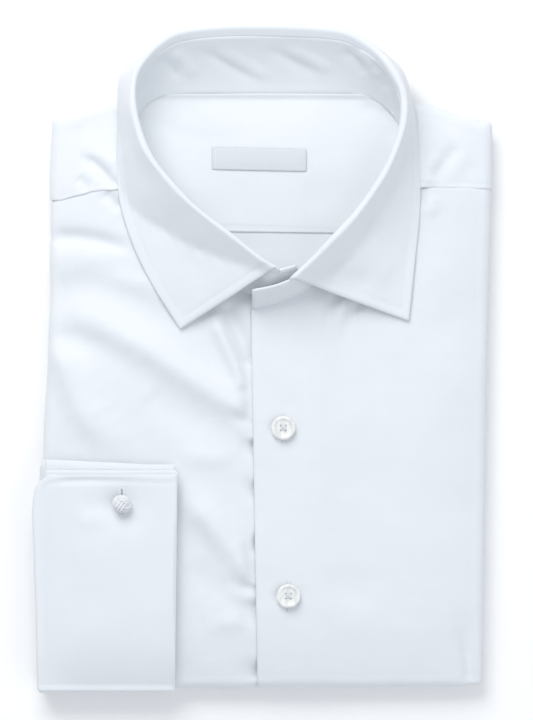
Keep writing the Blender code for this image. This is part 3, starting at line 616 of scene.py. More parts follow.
def front_flat(side, columns, rows):
    """Flat coordinates of a front's points, from the front edge out and from the hem up."""
    steps = fold_steps(9)
    across = np.concatenate([np.linspace(0, 1, columns), np.ones(len(steps))])
    past = np.concatenate([np.zeros(columns), steps])
    along = np.concatenate([np.zeros(len(steps)), np.linspace(0, 1, rows)])
    below = np.concatenate([-steps[::-1], np.zeros(rows)])
    fold = left_fold_x if side > 0 else right_fold_x
    lap = 0.0 if side > 0 else FRONT_OVERLAP
    share, level = np.meshgrid(across, along)
    v = -0.17 + level * 0.2
    for _ in range(6):    # u and v depend on each other, and settle in a few rounds
        edge = front_edge_x(v) + lap
        u = edge + share * (fold(v) - side * FOLD_RADIUS - edge)
        low = hem_y(u) + FOLD_RADIUS
        v = low + level * (front_top(u, side) - low)
    return u + side * past[None, :], v + below[:, None]


def left_front_relief(u, v):
    """The left front's folds, sunk along its turned edge and pressed flat at its side fold."""
    height = folds(LEFT_FRONT_FOLDS, u, v)
    height += undulation(u, v, 11, 0.00022, 0.060) + undulation(u, v, 12, 0.00005, 0.014)
    height -= 0.00035 * np.exp(-((u - front_edge_x(v)) / 0.0009) ** 2)
    return height * (1 - 0.8 * np.clip((u - left_fold_x(v) + FOLD_RADIUS) / FOLD_RADIUS, 0, 1))


def right_front_relief(u, v):
    """The right front's folds, flattened at its side fold and where the left front covers it."""
    height = folds(RIGHT_FRONT_FOLDS, u, v)
    height = np.where(height < 0, DEEPEST_FOLD * np.tanh(height / DEEPEST_FOLD), height)
    under = soft_step((u - front_edge_x(v) + 0.0085) / 0.0080)
    height = np.where(height > 0, height * (1 - under), height)
    height += undulation(u, v, 21, 0.00022, 0.050) + undulation(u, v, 22, 0.00006, 0.013)
    height *= 1 - 0.8 * np.clip((right_fold_x(v) + FOLD_RADIUS - u) / FOLD_RADIUS, 0, 1)
    return height * (1 - np.clip((u - front_edge_x(v) - 0.002) / 0.008, 0, 1))


def make_front(side):
    u, v = front_flat(side, 84, 190)
    if side > 0:
        name, height = "front_left", left_front_relief(u, v)
        grid = drape(u, v, lift=front_lift(np.maximum(u, front_edge_x(v)), v))
    else:
        name, height = "front_right", right_front_relief(u, v)
        grid = drape(u, v, tuck=1 - rise(front_edge_x(v) - u, 0.012))
    height -= YOKE_CLOTH * np.clip((v - yoke_seam_y(u) + 0.0006) / 0.0006, 0, 1)
    if side < 0:
        grid, u, v, height = (part[:, ::-1] for part in (grid, u, v, height))
    piece = cloth_shell(name + "_cloth", raised(grid, height), FRONT_CLOTH, (u, v), cotton)
    belongs(piece, "poplin", name)
    return piece


front_right = make_front(-1)
front_left = make_front(1)

# ==== Yoke
# The outer yoke comes over the shoulders to the front. Its turned edge is stitched down on the
# fronts, which run in under it.
YOKE_STITCH = 0.0020      # from the seam
YOKE_FOLDS = (
    (-0.0024, 0.0026, 0.0032, 0.25, 0.1,
     (-0.0990, 0.1075), (-0.0915, 0.1052), (-0.0862, 0.1010), (-0.0820, 0.0965), (-0.0770, 0.0915)),
    (0.0009, 0.0040, 0.0040, 0.3, 0.3, (-0.0900, 0.1130), (-0.0820, 0.1060), (-0.0765, 0.1010)),
    (-0.0011, 0.0030, 0.0030, 0.2, 0.2, (-0.0990, 0.0965), (-0.0950, 0.0935), (-0.0915, 0.0905)),
    (-0.0009, 0.0060, 0.0060, 0.3, 0.3, (-0.1090, 0.1180), (-0.0950, 0.1210), (-0.0800, 0.1250)),
    (-0.0015, 0.0040, 0.0040, 0.2, 0.2, (0.1060, 0.1150), (0.0960, 0.1040), (0.0880, 0.0940)),
    (0.0011, 0.0040, 0.0040, 0.2, 0.2, (0.0940, 0.1100), (0.0900, 0.1000), (0.0880, 0.0910)),
    (-0.0009, 0.0060, 0.0060, 0.3, 0.3, (0.1130, 0.1090), (0.1080, 0.0980), (0.1040, 0.0880)),
)


def make_yoke_shoulder(side):
    """One shoulder. It returns the grid, and each point's distance from the yoke seam."""
    steps = fold_steps(9)
    columns, rows = 46, 44
    across = np.concatenate([np.linspace(0, 1, columns), np.ones(len(steps))])
    past = np.concatenate([np.zeros(columns), steps])
    along = np.concatenate([np.linspace(0, 1, rows), np.ones(len(steps))])
    above = np.concatenate([np.zeros(rows), steps])
    line = neckline(side, -0.0004)
    line = line[np.abs(line[:, 0]) > 0.02]
    fold = left_fold_x if side > 0 else right_fold_x
    share, level = np.meshgrid(across, along)
    v = 0.09 + level * 0.04
    for _ in range(6):
        inner = np.interp(v, line[:, 1], line[:, 0])
        u = inner + share * (fold(v) - side * FOLD_RADIUS - inner)
        low, high = yoke_seam_y(u) - 0.0007, shoulder_y(u) - FOLD_RADIUS
        v = low + level * (high - low)
    u, v = u + side * past[None, :], v + above[:, None]
    seam = v - yoke_seam_y(u)
    height = folds(YOKE_FOLDS, u, v) + undulation(u, v, 31, 0.00015, 0.030)
    height += 0.00056 - 0.00014 * np.exp(-((seam - YOKE_STITCH) / 0.0008) ** 2)
    yoke_seam = np.where(past[None, :] > 0.009, 9.0, seam)
    if side < 0:
        u, v, height, yoke_seam = (part[:, ::-1] for part in (u, v, height, yoke_seam))
    grid = raised(drape(u, v), height)
    word = "left" if side > 0 else "right"
    piece = cloth_shell("yoke_%s_cloth" % word, grid, YOKE_CLOTH, (v, u), cotton)
    belongs(piece, "poplin", "yoke_shoulder_" + word)
    return grid, yoke_seam


yoke_right = make_yoke_shoulder(-1)
yoke_left = make_yoke_shoulder(1)

# ==== Inside of the neck
# The inner yoke and the inside of the back show in the neck opening. The yoke is sewn over the
# back with a turned seam, and carries a bare satin label.
FLOOR_DROP = 0.0028       # the inside lies this far under the crown
INSIDE_CLOTH = 0.0007
INSIDE_FRONT = 0.0330     # y of its front end, of the back's other end and of the neck seam
INSIDE_BACK_TOP = 0.0705
INSIDE_TOP = 0.1408
INSIDE_STITCH = 0.0018    # from the seam
INSIDE_SEAM = ((-0.060, 0.0690), (-0.018, 0.0687), (0.036, 0.0667), (0.070, 0.0655))
inside_seam_y = column(INSIDE_SEAM, 0, 1)
INSIDE_FOLDS = (
    (-0.0006, 0.0050, 0.0040, 0.2, 0.4, (-0.0600, 0.1280), (-0.0450, 0.1200), (-0.0250, 0.1160)),
    (0.0004, 0.0060, 0.0050, 0.3, 0.4, (-0.0500, 0.1260), (-0.0250, 0.1240), (0.0000, 0.1260)),
    (-0.0006, 0.0040, 0.0030, 0.0, 0.4, (0.0690, 0.1300), (0.0580, 0.1330), (0.0450, 0.1320)),
    (0.0006, 0.0030, 0.0030, 0.1, 0.4, (0.0660, 0.1350), (0.0560, 0.1380), (0.0480, 0.1385)),
    (-0.0005, 0.0060, 0.0060, 0.3, 0.4, (-0.0300, 0.0560), (-0.0100, 0.0600), (0.0150, 0.0580)),
    (0.0004, 0.0060, 0.0060, 0.3, 0.4, (-0.0100, 0.0480), (0.0100, 0.0510), (0.0300, 0.0480)),
    (-0.0005, 0.0080, 0.0080, 0.3, 0.4, (0.0500, 0.0950), (0.0300, 0.0860), (0.0100, 0.0830)),
    (0.0003, 0.0080, 0.0080, 0.3, 0.4, (-0.0500, 0.0980), (-0.0300, 0.0850), (-0.0150, 0.0780)),
)
floor_margin = column(((0.085, 0.0050), (0.102, -0.0006)), 0, 1, smooth=False)


def inside_flat(low_y, high_y, rows):
    """Flat points of the inside from low_y up to high_y, out to the neck seam on both sides."""
    right, left = collar_rows[:COLLAR_MIDDLE + 1], collar_rows[:COLLAR_MIDDLE - 1:-1]
    share, level = np.meshgrid(np.linspace(0, 1, 90), np.linspace(0, 1, rows))
    v = low_y + level * (high_y - low_y)
    low = np.interp(v, right[:, 1], right[:, 0]) - floor_margin(v)
    high = np.interp(v, left[:, 1], left[:, 0]) + floor_margin(v)
    return low + share * (high - low), v


def inside_surface(u, v, over):
    """Places on the inside of the neck, which rises to the seam behind the neck."""
    height = folds(INSIDE_FOLDS, u, v) + undulation(u, v, 41, 0.00018, 0.040)
    rising = 0.0016 * np.exp(-((0.1412 - v) / 0.0022) ** 2)
    return np.stack([u, v, crown(u, v) - FLOOR_DROP + height + over + rising], axis=-1)


def make_inside():
    u, v = inside_flat(INSIDE_FRONT, INSIDE_BACK_TOP, 44)
    grid = inside_surface(u, v, 0)
    back = cloth_shell("back_inner_cloth", grid, INSIDE_CLOTH, (u, v), cotton_inside_shaded)
    belongs(back, "poplin_inside", "back_inner")
    rough = inside_flat(0.0, INSIDE_TOP, 80)[0]
    u, v = inside_flat(inside_seam_y(rough * 0.9), INSIDE_TOP, 80)
    seam = v - inside_seam_y(u)
    over = 0.0008 - 0.00025 * np.exp(-((seam - INSIDE_STITCH) / 0.0008) ** 2)
    grid = inside_surface(u, v, over)
    yoke = cloth_shell("yoke_inner_cloth", grid, INSIDE_CLOTH, (v, u), cotton_inside_shaded)
    belongs(yoke, "poplin_inside", "yoke_inner")
    return yoke, grid, seam


yoke_inner, inside_grid, inside_seam = make_inside()
LABEL_PLACE = (-0.0018, 0.1062)
LABEL_SIZE = (0.0498, 0.0116)
LABEL_CLOTH = 0.0004


def label_finish():
    """Woven satin, with long floats across the label."""
    finish = Finish("Label satin", Specular_IOR_Level=0.5, Sheen_Weight=0.2)
    across, along = finish.flat()
    floats = (along * (2 * math.pi / 0.00028)).sine() * 0.5 + 0.5
    threads = finish.add("ShaderNodeCombineXYZ", {}, {0: across * 300, 1: along * 4200})
    slub = finish.noise(threads, 1.0, 2.0)
    tone = floats * 0.35 + slub * 0.6
    finish.shade("Base Color", finish.mix(tone, (0.56, 0.595, 0.63, 1), (0.69, 0.72, 0.75, 1)))
    finish.shade("Roughness", slub * 0.2 + 0.35)
    finish.shade("Normal", finish.bump(floats + slub, 0.3, 0.0001))
    return finish.material


def make_label():
    share, level = np.meshgrid(np.linspace(-0.5, 0.5, 60), np.linspace(-0.5, 0.5, 18))
    width, depth = LABEL_SIZE
    u = LABEL_PLACE[0] + share * width
    v = LABEL_PLACE[1] + level * depth - share * 0.0011
    ends = np.exp(-((0.5 - np.abs(share)) * width / 0.0016) ** 2)
    over = 0.0016 + 0.00030 * np.sin(level * math.pi + math.pi / 2) - 0.0003 * ends
    grid = inside_surface(u, v, over)
    piece = cloth_shell("label_cloth", grid, LABEL_CLOTH, (u, v), label_finish())
    belongs(piece, "label_satin", "label")
    return grid


label_grid = make_label()

# ==== Collar
# A stand of two layers and a leaf sewn along its top, both fused. The leaf rolls over and its
# points lie on the fronts. Its edges are turned, and topstitched 4 mm in.
cotton_fused = poplin("Fused poplin", COTTON_LIGHT, COTTON_DARK, roughness=0.72, weave=0.8)
BAND_WALL = 0.0015
LEAF_WALL = 0.0013
BAND_SHARE = 0.84
ROLL_RADIUS = 0.0022
LEAF_SAG = (1.2, 1.35)
LEAF_KNEE = (             # share of its length, place of the knee, share of the drop above it
    (0.000, 0.06, 0.10), (0.048, 0.16, 0.22), (0.095, 0.33, 0.44), (0.143, 0.53, 0.54),
    (0.190, 0.85, 0.50), (0.250, 1.00, 0.20), (0.330, 1.00, 0.00), (0.700, 1.00, 0.00),
    (0.780, 0.32, 0.35), (0.950, 0.26, 0.35), (1.000, 0.20, 0.30),
)
leaf_knee = column(LEAF_KNEE, 0, 1, smooth=False)
leaf_above = column(LEAF_KNEE, 0, 2, smooth=False)
LEAF_BULGE = 0.006        # how far the leaf springs out behind the neck
LEAF_START = 15           # columns of its grid that are inside the roll
TOPSTITCH = 0.0043        # from the leaf's edge
BAND_STITCHES = (0.0020, 0.0318)  # from the neck seam
BAND_FOLDS = (
    (0.0011, 0.0024, 0.0030, 0.2, 0.2, (-0.0250, 0.1646), (-0.0110, 0.1570), (0.0039, 0.1487)),
    (-0.0013, 0.0030, 0.0026, 0.2, 0.2, (-0.0332, 0.1646), (-0.0180, 0.1560), (-0.0014, 0.1465)),
    (-0.0011, 0.0030, 0.0030, 0.2, 0.2, (0.0017, 0.1656), (0.0160, 0.1580), (0.0304, 0.1508)),
    (0.0011, 0.0024, 0.0030, 0.2, 0.2, (0.0110, 0.1660), (0.0250, 0.1590), (0.0370, 0.1530)),
    (-0.0009, 0.0024, 0.0024, 0.1, 0.2, (0.0420, 0.1640), (0.0500, 0.1580), (0.0540, 0.1500)),
    (0.0008, 0.0024, 0.0024, 0.1, 0.2, (0.0500, 0.1640), (0.0575, 0.1560), (0.0610, 0.1480)),
    (-0.0009, 0.0020, 0.0024, 0.1, 0.2, (0.0580, 0.1580), (0.0640, 0.1500), (0.0655, 0.1420)),
    (-0.0013, 0.0030, 0.0030, 0.2, 0.2, (-0.0560, 0.1600), (-0.0500, 0.1560), (-0.0440, 0.1480)),
    (0.0011, 0.0030, 0.0030, 0.2, 0.2, (-0.0480, 0.1640), (-0.0420, 0.1580), (-0.0360, 0.1490)),
)


def make_band():
    """The stand: its right end goes under, and its left end laps over it as a tab."""
    seam, roll = collar_rows[:, 0:3], collar_rows[:, 3:6]
    under, tab = np.array(BAND_UNDER_END), np.array(BAND_TAB)
    runs = []
    for line in (np.vstack([under[:, :3], seam, tab[:, :3]]),
                 np.vstack([under[:, 3:], seam + BAND_SHARE * (roll - seam), tab[:, 3:]])):
        start = smooth_path(line[:3], 14)[:-8]
        end = smooth_path(line[-5:], 41)[20:]
        runs.append(np.vstack([start, line[2:-4], end]))
    share = np.linspace(0, 1, 24)
    grid = runs[0][:, None, :] + share[None, :, None] * (runs[1] - runs[0])[:, None, :]
    length = np.linalg.norm(np.diff(runs[0], axis=0), axis=1)
    along = np.concatenate([[0], np.cumsum(length)])
    v, u = np.meshgrid(share * 0.034, along)
    wrinkle = folds(BAND_FOLDS, grid[..., 0], grid[..., 1])
    belly = 0.0016 * np.sin(math.pi * share)[None, :]
    groove = -0.0003 * np.exp(-((v - 0.0022) / 0.0008) ** 2)
    grid = raised(grid, belly + groove - wrinkle)
    piece = cloth_shell("collar_band_cloth", grid, BAND_WALL, (u, v), cotton_fused)
    belongs(piece, "poplin", "collar_band")
    return grid, v


band_grid, band_across = make_band()


def leaf_section(row, share):
    """Across the leaf: up from the stand, over the roll and down to the free edge."""
    seam, roll, edge = row[0:3], row[3:6], row[6:9]
    up = unit(roll - seam)
    side = unit((edge - roll) - up * ((edge - roll) @ up))
    skin = (BAND_WALL + LEAF_WALL) / 2
    centre = roll - up * ROLL_RADIUS + side * (ROLL_RADIUS - skin)
    start = seam + BAND_SHARE * (roll - seam) - side * skin + up * 0.0002
    rising = [start, (start + centre - side * ROLL_RADIUS) / 2]
    turns = np.radians((0, 30, 60, 90, 120, 145))
    rising += [centre + ROLL_RADIUS * (math.sin(t) * up - math.cos(t) * side) for t in turns]
    begin = rising[-1]
    behind = float(soft_step((0.5 - abs(share - 0.5) - 0.26) / 0.10))
    sag = LEAF_SAG[0] + (LEAF_SAG[1] - LEAF_SAG[0]) * share
    sag += (1.0 - sag) * behind
    knee, above = float(leaf_knee(share)), float(leaf_above(share))
    falling = []
    for step in np.linspace(0, 1, 13)[1:]:
        point = begin + step * (edge - begin)
        part = (1 - above) * (1 - step) ** sag + above * max(0.0, 1 - step / knee)
        point[2] = edge[2] + (begin[2] - edge[2]) * part
        falling.append(point + LEAF_BULGE * behind * math.sin(math.pi * step) * side)
    return np.vstack([smooth_path(rising, 16)[:-1], smooth_path([begin] + falling, 56)])


def distance_to(grid, line):
    """Distance of every grid point to a line of points."""
    flat = grid.reshape(-1, 3)
    best = np.full(len(flat), 9.0)
    for a, b in zip(line[:-1], line[1:]):
        along = b - a
        share = np.clip(((flat - a) @ along) / max(along @ along, 1e-12), 0, 1)
        best = np.minimum(best, np.linalg.norm(flat - a - share[:, None] * along, axis=1))
    return best.reshape(grid.shape[:2])


def edge_relief(distance, stitch):
    """A turned edge: puffed between the edge and the stitches, and drawn in along them."""
    puff = 0.00016 * np.exp(-((distance - stitch * 0.45) / (stitch * 0.40)) ** 2)
    groove = 0.00030 * np.exp(-((distance - stitch) / 0.0008) ** 2)
    return puff - groove


LEAF_FOLDS = (
    (-0.0010, 0.0060, 0.0060, 0.3, 0.3, (0.0300, 0.0480), (0.0460, 0.0420), (0.0640, 0.0400)),
    (0.0007, 0.0080, 0.0080, 0.3, 0.3, (0.0450, 0.0640), (0.0600, 0.0500), (0.0700, 0.0400)),
)


def make_leaf():
    share = np.linspace(0, 1, COLLAR_COUNT)
    grid = np.array([leaf_section(row, at) for row, at in zip(collar_rows, share)])
    borders = (grid[:, -1], grid[0, LEAF_START:], grid[-1, LEAF_START:])
    near = np.min([distance_to(grid, line[::3]) for line in borders], axis=0)
    relief = edge_relief(near, TOPSTITCH)
    relief *= np.where(distance_to(grid, borders[0][::3]) <= near + 1e-9, 0.45, 1.0)
    relief[:, :LEAF_START] = 0
    across = np.linspace(0, 0.085, grid.shape[1])
    along = np.linspace(0, 0.43, COLLAR_COUNT)
    v, u = np.meshgrid(across, along)
    wave = undulation(u, v, 51, 0.00016, 0.035)
    fall = np.clip((np.arange(grid.shape[1]) - 18) / 10, 0, 1)[None, :]
    wave += folds(LEAF_FOLDS, grid[..., 0], grid[..., 1]) * fall
    grid = raised(grid[:, ::-1], (relief + wave)[:, ::-1])
    flat = (u[:, ::-1], v[:, ::-1])
    piece = cloth_shell("collar_leaf_cloth", grid, LEAF_WALL, flat, cotton_fused)
    belongs(piece, "poplin", "collar_fall")
    return grid[:, ::-1], near


leaf_grid, leaf_edge = make_leaf()

# ==== Cuff and sleeve
# A double cuff: each half is two layers, turned back at the wrist and laid flat, with a rounded
# free corner. A silk knot holds its four layers through the buttonholes.
CUFF_EDGE = (             # y, x of the free edge of the half that shows
    (-0.1768, -0.1191), (-0.1400, -0.1197), (-0.0957, -0.1211), (-0.0808, -0.1217),
    (-0.0700, -0.1206), (-0.0612, -0.1196),
)
cuff_edge_x = column(CUFF_EDGE, 0, 1)
CUFF_LEFT = -0.1200
CUFF_RIGHT = -0.0450
CUFF_INNER_LEFT = -0.1150
CUFF_UNDER_LEFT = -0.1168
CUFF_OPEN_OUTER = -0.0612
CUFF_OPEN_INNER = -0.0591
CUFF_OPEN_UNDER = -0.0560
CUFF_FOLD = -0.1768
CUFF_WALL = 0.0010
CUFF_LAYER_GAP = 0.0004
CUFF_HALF_GAP = 0.0008
CUFF_OUTER = CUFF_HALF_GAP / 2 + 2 * CUFF_WALL + CUFF_LAYER_GAP
CUFF_CLEARANCE = (0.0026, 0.0008)
CUFF_CORNER = 0.0095
CUFF_STITCH = 0.0036      # from the edge
CUFF_DEEPEST = 0.0015     # no fold of the upper layer goes deeper
LINK_PLACE = (-0.0745, -0.0764)


def cuff_height(x, y):
    """Height of the middle of the four cuff layers, which dip at the link and at the lower fold."""
    share = np.clip((CUFF_OPEN_OUTER - y) / (CUFF_OPEN_OUTER - CUFF_FOLD), 0, 1)
    over = CUFF_CLEARANCE[0] + (CUFF_CLEARANCE[1] - CUFF_CLEARANCE[0]) * share
    pull = np.hypot(np.asarray(x) - LINK_PLACE[0], y - LINK_PLACE[1])
    sunk = 0.0022 * np.exp(-(pull / 0.0100) ** 2)
    sunk = sunk + 0.0014 * np.clip((-0.146 - y) / 0.031, 0, 1) ** 2
    return crown(x, y) + 0.0006 + over + CUFF_OUTER - sunk


def cuff_grid(upper_rows, fold_rows, lower_rows, columns):
    """Rows from the upper open edge round the lower fold and back. A row runs from the free edge
    round the wrist fold to the sleeve. Beside the grid come the flat cloth's u and v."""
    inner = CUFF_HALF_GAP / 2
    middle, bend = (CUFF_OUTER + inner) / 2, (CUFF_OUTER - inner) / 2
    fold_y = CUFF_FOLD + CUFF_OUTER
    levels = [(share, 0.0) for share in np.linspace(0, 1, upper_rows) ** 1.25]
    levels += [(1.0, turn) for turn in np.linspace(0, math.pi, fold_rows + 2)[1:-1]]
    levels += [(share, math.pi) for share in np.linspace(1, 0, lower_rows)]
    grid, flat_u, flat_v = [], [], []
    for share, turn in levels:
        below = turn / math.pi
        wrist = CUFF_RIGHT - 0.0014 * (share if turn == 0 else 1) - bend
        near_y = CUFF_OPEN_OUTER + share * (fold_y - CUFF_OPEN_OUTER)
        free = float(cuff_edge_x(near_y))
        free += (CUFF_UNDER_LEFT - free) * below
        if turn == 0:
            down = share * (CUFF_OPEN_OUTER - fold_y)
            if down < CUFF_CORNER:
                free += CUFF_CORNER - math.sqrt(CUFF_CORNER ** 2 - (CUFF_CORNER - down) ** 2)
        outer_x = free + (wrist - free) * np.linspace(0, 1, columns)
        turns = np.linspace(0, math.pi, 11)[1:-1]
        inner_x = wrist + (CUFF_INNER_LEFT - wrist) * np.linspace(0, 1, columns)
        x = np.concatenate([outer_x, wrist + bend * np.sin(turns), inner_x])
        radius = np.concatenate([
            np.full(columns, CUFF_OUTER), middle + bend * np.cos(turns), np.full(columns, inner)
        ])
        if turn == 0:
            open_y = np.interp(radius, (inner, CUFF_OUTER), (CUFF_OPEN_INNER, CUFF_OPEN_OUTER))
        else:
            open_y = CUFF_OPEN_UNDER + 0.0024 * np.clip((-0.06 - x) / 0.05, 0, 1)
        y = open_y + share * (fold_y - open_y)
        if 0 < turn < math.pi:
            level = cuff_height(x, fold_y) + radius * math.cos(turn)
            y = fold_y - radius * math.sin(turn)
        else:
            level = cuff_height(x, y) + radius * (1 if turn == 0 else -1)
        grid.append(np.stack([x, y, level], axis=1))
        flat_u.append(np.concatenate([outer_x, wrist + bend * turns, 2 * wrist - inner_x]))
        flat_v.append(np.full(len(x), share * 0.115 + below * 0.115))
    return np.array(grid), np.array(flat_u), np.array(flat_v)


CUFF_FOLDS = (
    (-0.0011, 0.0011, 0.0015, 0.15, 0.6,
     (-0.1100, -0.0644), (-0.0950, -0.0638), (-0.0750, -0.0639), (-0.0560, -0.0641)),
    (-0.0008, 0.0050, 0.0050, 0.4, 0.3, (-0.1000, -0.0740), (-0.0880, -0.0770), (-0.0770, -0.0770)),
    (0.0006, 0.0050, 0.0050, 0.3, 0.3, (-0.1020, -0.0860), (-0.0900, -0.0850), (-0.0800, -0.0810)),
    (-0.0006, 0.0040, 0.0050, 0.2, 0.5, (-0.0730, -0.0790), (-0.0680, -0.0860), (-0.0620, -0.0940)),
    (0.0005, 0.0120, 0.0120, 0.3, 0.4, (-0.1100, -0.1050), (-0.0900, -0.1020), (-0.0680, -0.1060)),
    (-0.0006, 0.0140, 0.0120, 0.3, 0.4, (-0.1150, -0.1280), (-0.0900, -0.1300), (-0.0600, -0.1250)),
    (0.0005, 0.0050, 0.0030, 0.3, 0.3, (-0.0480, -0.0700), (-0.0475, -0.1100), (-0.0480, -0.1650)),
)


def make_cuff():
    upper, columns = 74, 56
    grid, u, v = cuff_grid(upper, 9, 40, columns)
    top = grid[:upper, :columns]
    edge = np.vstack([top[::-1, 0], top[0]])
    near = distance_to(top, edge[::2])
    relief = np.zeros(grid.shape[:2])
    x, y = top[..., 0], top[..., 1]
    from_link = np.hypot(x - LINK_PLACE[0], y - LINK_PLACE[1])
    relief[:upper, :columns] = edge_relief(near, CUFF_STITCH) + folds(CUFF_FOLDS, x, y)
    relief[:upper, :columns] -= 0.0010 * np.exp(-(from_link / 0.0060) ** 2)
    relief[:upper, :columns] -= 0.0016 * np.clip((-0.150 - y) / 0.027, 0, 1) ** 2
    relief = np.where(relief < 0, CUFF_DEEPEST * np.tanh(relief / CUFF_DEEPEST), relief)
    relief[:upper] += undulation(grid[:upper, :, 0], grid[:upper, :, 1], 61, 0.00014, 0.040)
    relief[:, columns:] = 0
    grid = raised(grid[:, ::-1], relief[:, ::-1])
    flat = (u[:, ::-1], v[:, ::-1])
    piece = cloth_shell("cuff_right_cloth", grid, CUFF_WALL, flat, cotton_fused)
    belongs(piece, "poplin", "cuff_right")
    return piece, grid[:, ::-1][:upper, :columns], near


cuff, cuff_top, cuff_edge = make_cuff()
SLEEVE_WALL = 0.0012
SLEEVE_SECTION = (        # x, height as a share of the cuff's
    (-0.1120, 1.00), (-0.1145, 0.97), (-0.1166, 0.88), (-0.1180, 0.74), (-0.1186, 0.56),
    (-0.1185, 0.34), (-0.1178, 0.16), (-0.1166, 0.06),
)


def make_sleeve():
    """The sleeve where it leaves the cuff and wraps the side fold."""
    section = smooth_path(SLEEVE_SECTION, 40)
    levels = np.linspace(CUFF_FOLD + CUFF_OUTER + 0.0012, CUFF_OPEN_UNDER - 0.0012, 100)
    grid = []
    for y in levels:
        height = section[:, 1] * cuff_height(CUFF_LEFT, y)
        grid.append(np.column_stack([section[:, 0], np.full(len(section), y), height]))
    grid = np.array(grid)[:, ::-1]
    v, u = np.meshgrid(np.linspace(0, 0.022, grid.shape[1]), levels)
    pleat = 0.0004 * np.sin(u / 0.0049) + 0.0003 * np.sin(u / 0.0021 + 1.3)
    grid = raised(grid, pleat * np.sin(np.linspace(0, math.pi, grid.shape[1]))[None, :])
    piece = cloth_shell("sleeve_right_cloth", grid, SLEEVE_WALL, (u, v), cotton)
    belongs(piece, "poplin", "sleeve_right")


make_sleeve()

# ==== Stitches
# Lockstitching in fine cotton thread, about 12 stitches to the inch. Every row is one run of
# small rounded threads, which lies in the groove of its seam or edge.
THREAD = 0.00030
STITCH = 0.00215


def stitch_tree():
    """Lays small rounded threads along rows of points, or across them as in a buttonhole."""
    nodes = bpy.data.node_groups.new("Stitches", "GeometryNodeTree")
    kinds = {"Rows": "Geometry", "Pitch": "Float", "Length": "Float", "Width": "Float",
             "Across": "Bool", "Thread": "Material"}
    for name, kind in kinds.items():
        nodes.interface.new_socket(name, in_out="INPUT", socket_type="NodeSocket" + kind)
    nodes.interface.new_socket("Stitches", in_out="OUTPUT", socket_type="NodeSocketGeometry")
    tree = Tree(nodes)
    given = nodes.nodes.new("NodeGroupInput")
    rows, pitch, length, width, across, thread = (Value(tree, given.outputs[k]) for k in range(6))
    curves = tree.add("GeometryNodeMeshToCurve", {}, {0: rows})
    evenly = tree.add("GeometryNodeResampleCurve", {"mode": "LENGTH"},
                      {"Curve": curves, "Length": pitch})
    tangent = tree.add("GeometryNodeInputTangent")
    sideways = tree.add("ShaderNodeVectorMath", {"operation": "CROSS_PRODUCT"},
                        {0: tangent, 1: (0, 0, 1)})
    way = tree.add("GeometryNodeSwitch", {"input_type": "VECTOR"},
                   {0: across, 1: tangent, 2: sideways})
    turn = tree.add("FunctionNodeAlignRotationToVector", {"axis": "X"}, {"Vector": way})
    bead = tree.add("GeometryNodeMeshUVSphere", {}, {"Segments": 8, "Rings": 6, "Radius": 1.0})
    size = tree.add("ShaderNodeCombineXYZ", {}, {0: length / 2, 1: width / 2, 2: width / 2})
    inputs = {"Points": evenly, "Instance": bead, "Rotation": turn, "Scale": size}
    beads = tree.add("GeometryNodeInstanceOnPoints", {}, inputs)
    real = tree.add("GeometryNodeRealizeInstances", {}, {0: beads})
    smooth = tree.add("GeometryNodeSetShadeSmooth", {}, {"Geometry": real})
    done = tree.add("GeometryNodeSetMaterial", {}, {"Geometry": smooth, "Material": thread})
    tree.add("NodeGroupOutput", {}, {0: done})
    return nodes


stitch_nodes = stitch_tree()


def thread_finish():
    finish = Finish("Cotton thread", Sheen_Weight=0.1, Specular_IOR_Level=0.35)
    twist = finish.noise(finish.add("ShaderNodeTexCoord", output="Object"), 3500.0, 1.0)
    finish.shade("Base Color", finish.mix(twist, (0.74, 0.775, 0.815, 1), (0.82, 0.845, 0.875, 1)))
    finish.shade("Roughness", twist * 0.2 + 0.5)
    return finish.material


cotton_thread = thread_finish()


def settle(piece):
    """Turns a piece with its modifiers into a plain mesh."""
    bpy.context.view_layer.update()
    graph = bpy.context.evaluated_depsgraph_get()
    made = bpy.data.meshes.new_from_object(piece.evaluated_get(graph), depsgraph=graph)
    piece.modifiers.clear()
    piece.data = made


def stitch_rows(name, rows, slot, pitch=STITCH, length=0.0019, width=THREAD, across=False):
    """Thread laid along rows of points, as one object at the origin."""
    points, edges = [], []
    for row in rows:
        edges += [(len(points) + k, len(points) + k + 1) for k in range(len(row) - 1)]
        points += np.asarray(row).tolist()
    mesh = bpy.data.meshes.new(name)
    mesh.from_pydata(points, edges, [])
    piece = bpy.data.objects.new(name, mesh)
    scene.collection.objects.link(piece)
    modifier = piece.modifiers.new("stitches", "NODES")
    modifier.node_group = stitch_nodes
    values = {"Pitch": pitch, "Length": length, "Width": width, "Across": across,
              "Thread": cotton_thread}
    for item in stitch_nodes.interface.items_tree:
        if item.name in values and item.in_out == "INPUT":
            modifier[item.identifier] = values[item.name]
    settle(piece)
    belongs(piece, slot)


def level_line(grid, field, level, start):
    """The line on a grid along which a field has one value, as points in order from start."""
    found = []
    for points, values in ((grid, field), (grid.transpose(1, 0, 2), field.T)):
        before, after = values[:, :-1] - level, values[:, 1:] - level
        crossed = before * after < 0
        share = (before / np.where(crossed, before - after, 1.0))[..., None]
        found.append((points[:, :-1] + share * (points[:, 1:] - points[:, :-1]))[crossed])
    left = np.vstack(found)
    at, line = np.array(start, float), []
    while len(left):
        away = np.linalg.norm(left - at, axis=1)
        nearest = int(away.argmin())
        if line and away[nearest] > 0.006:
            break
        if not line or away[nearest] > 0.0002:
            line.append(left[nearest])
        at = left[nearest]
        left = np.delete(left, nearest, axis=0)
    return np.array(line)


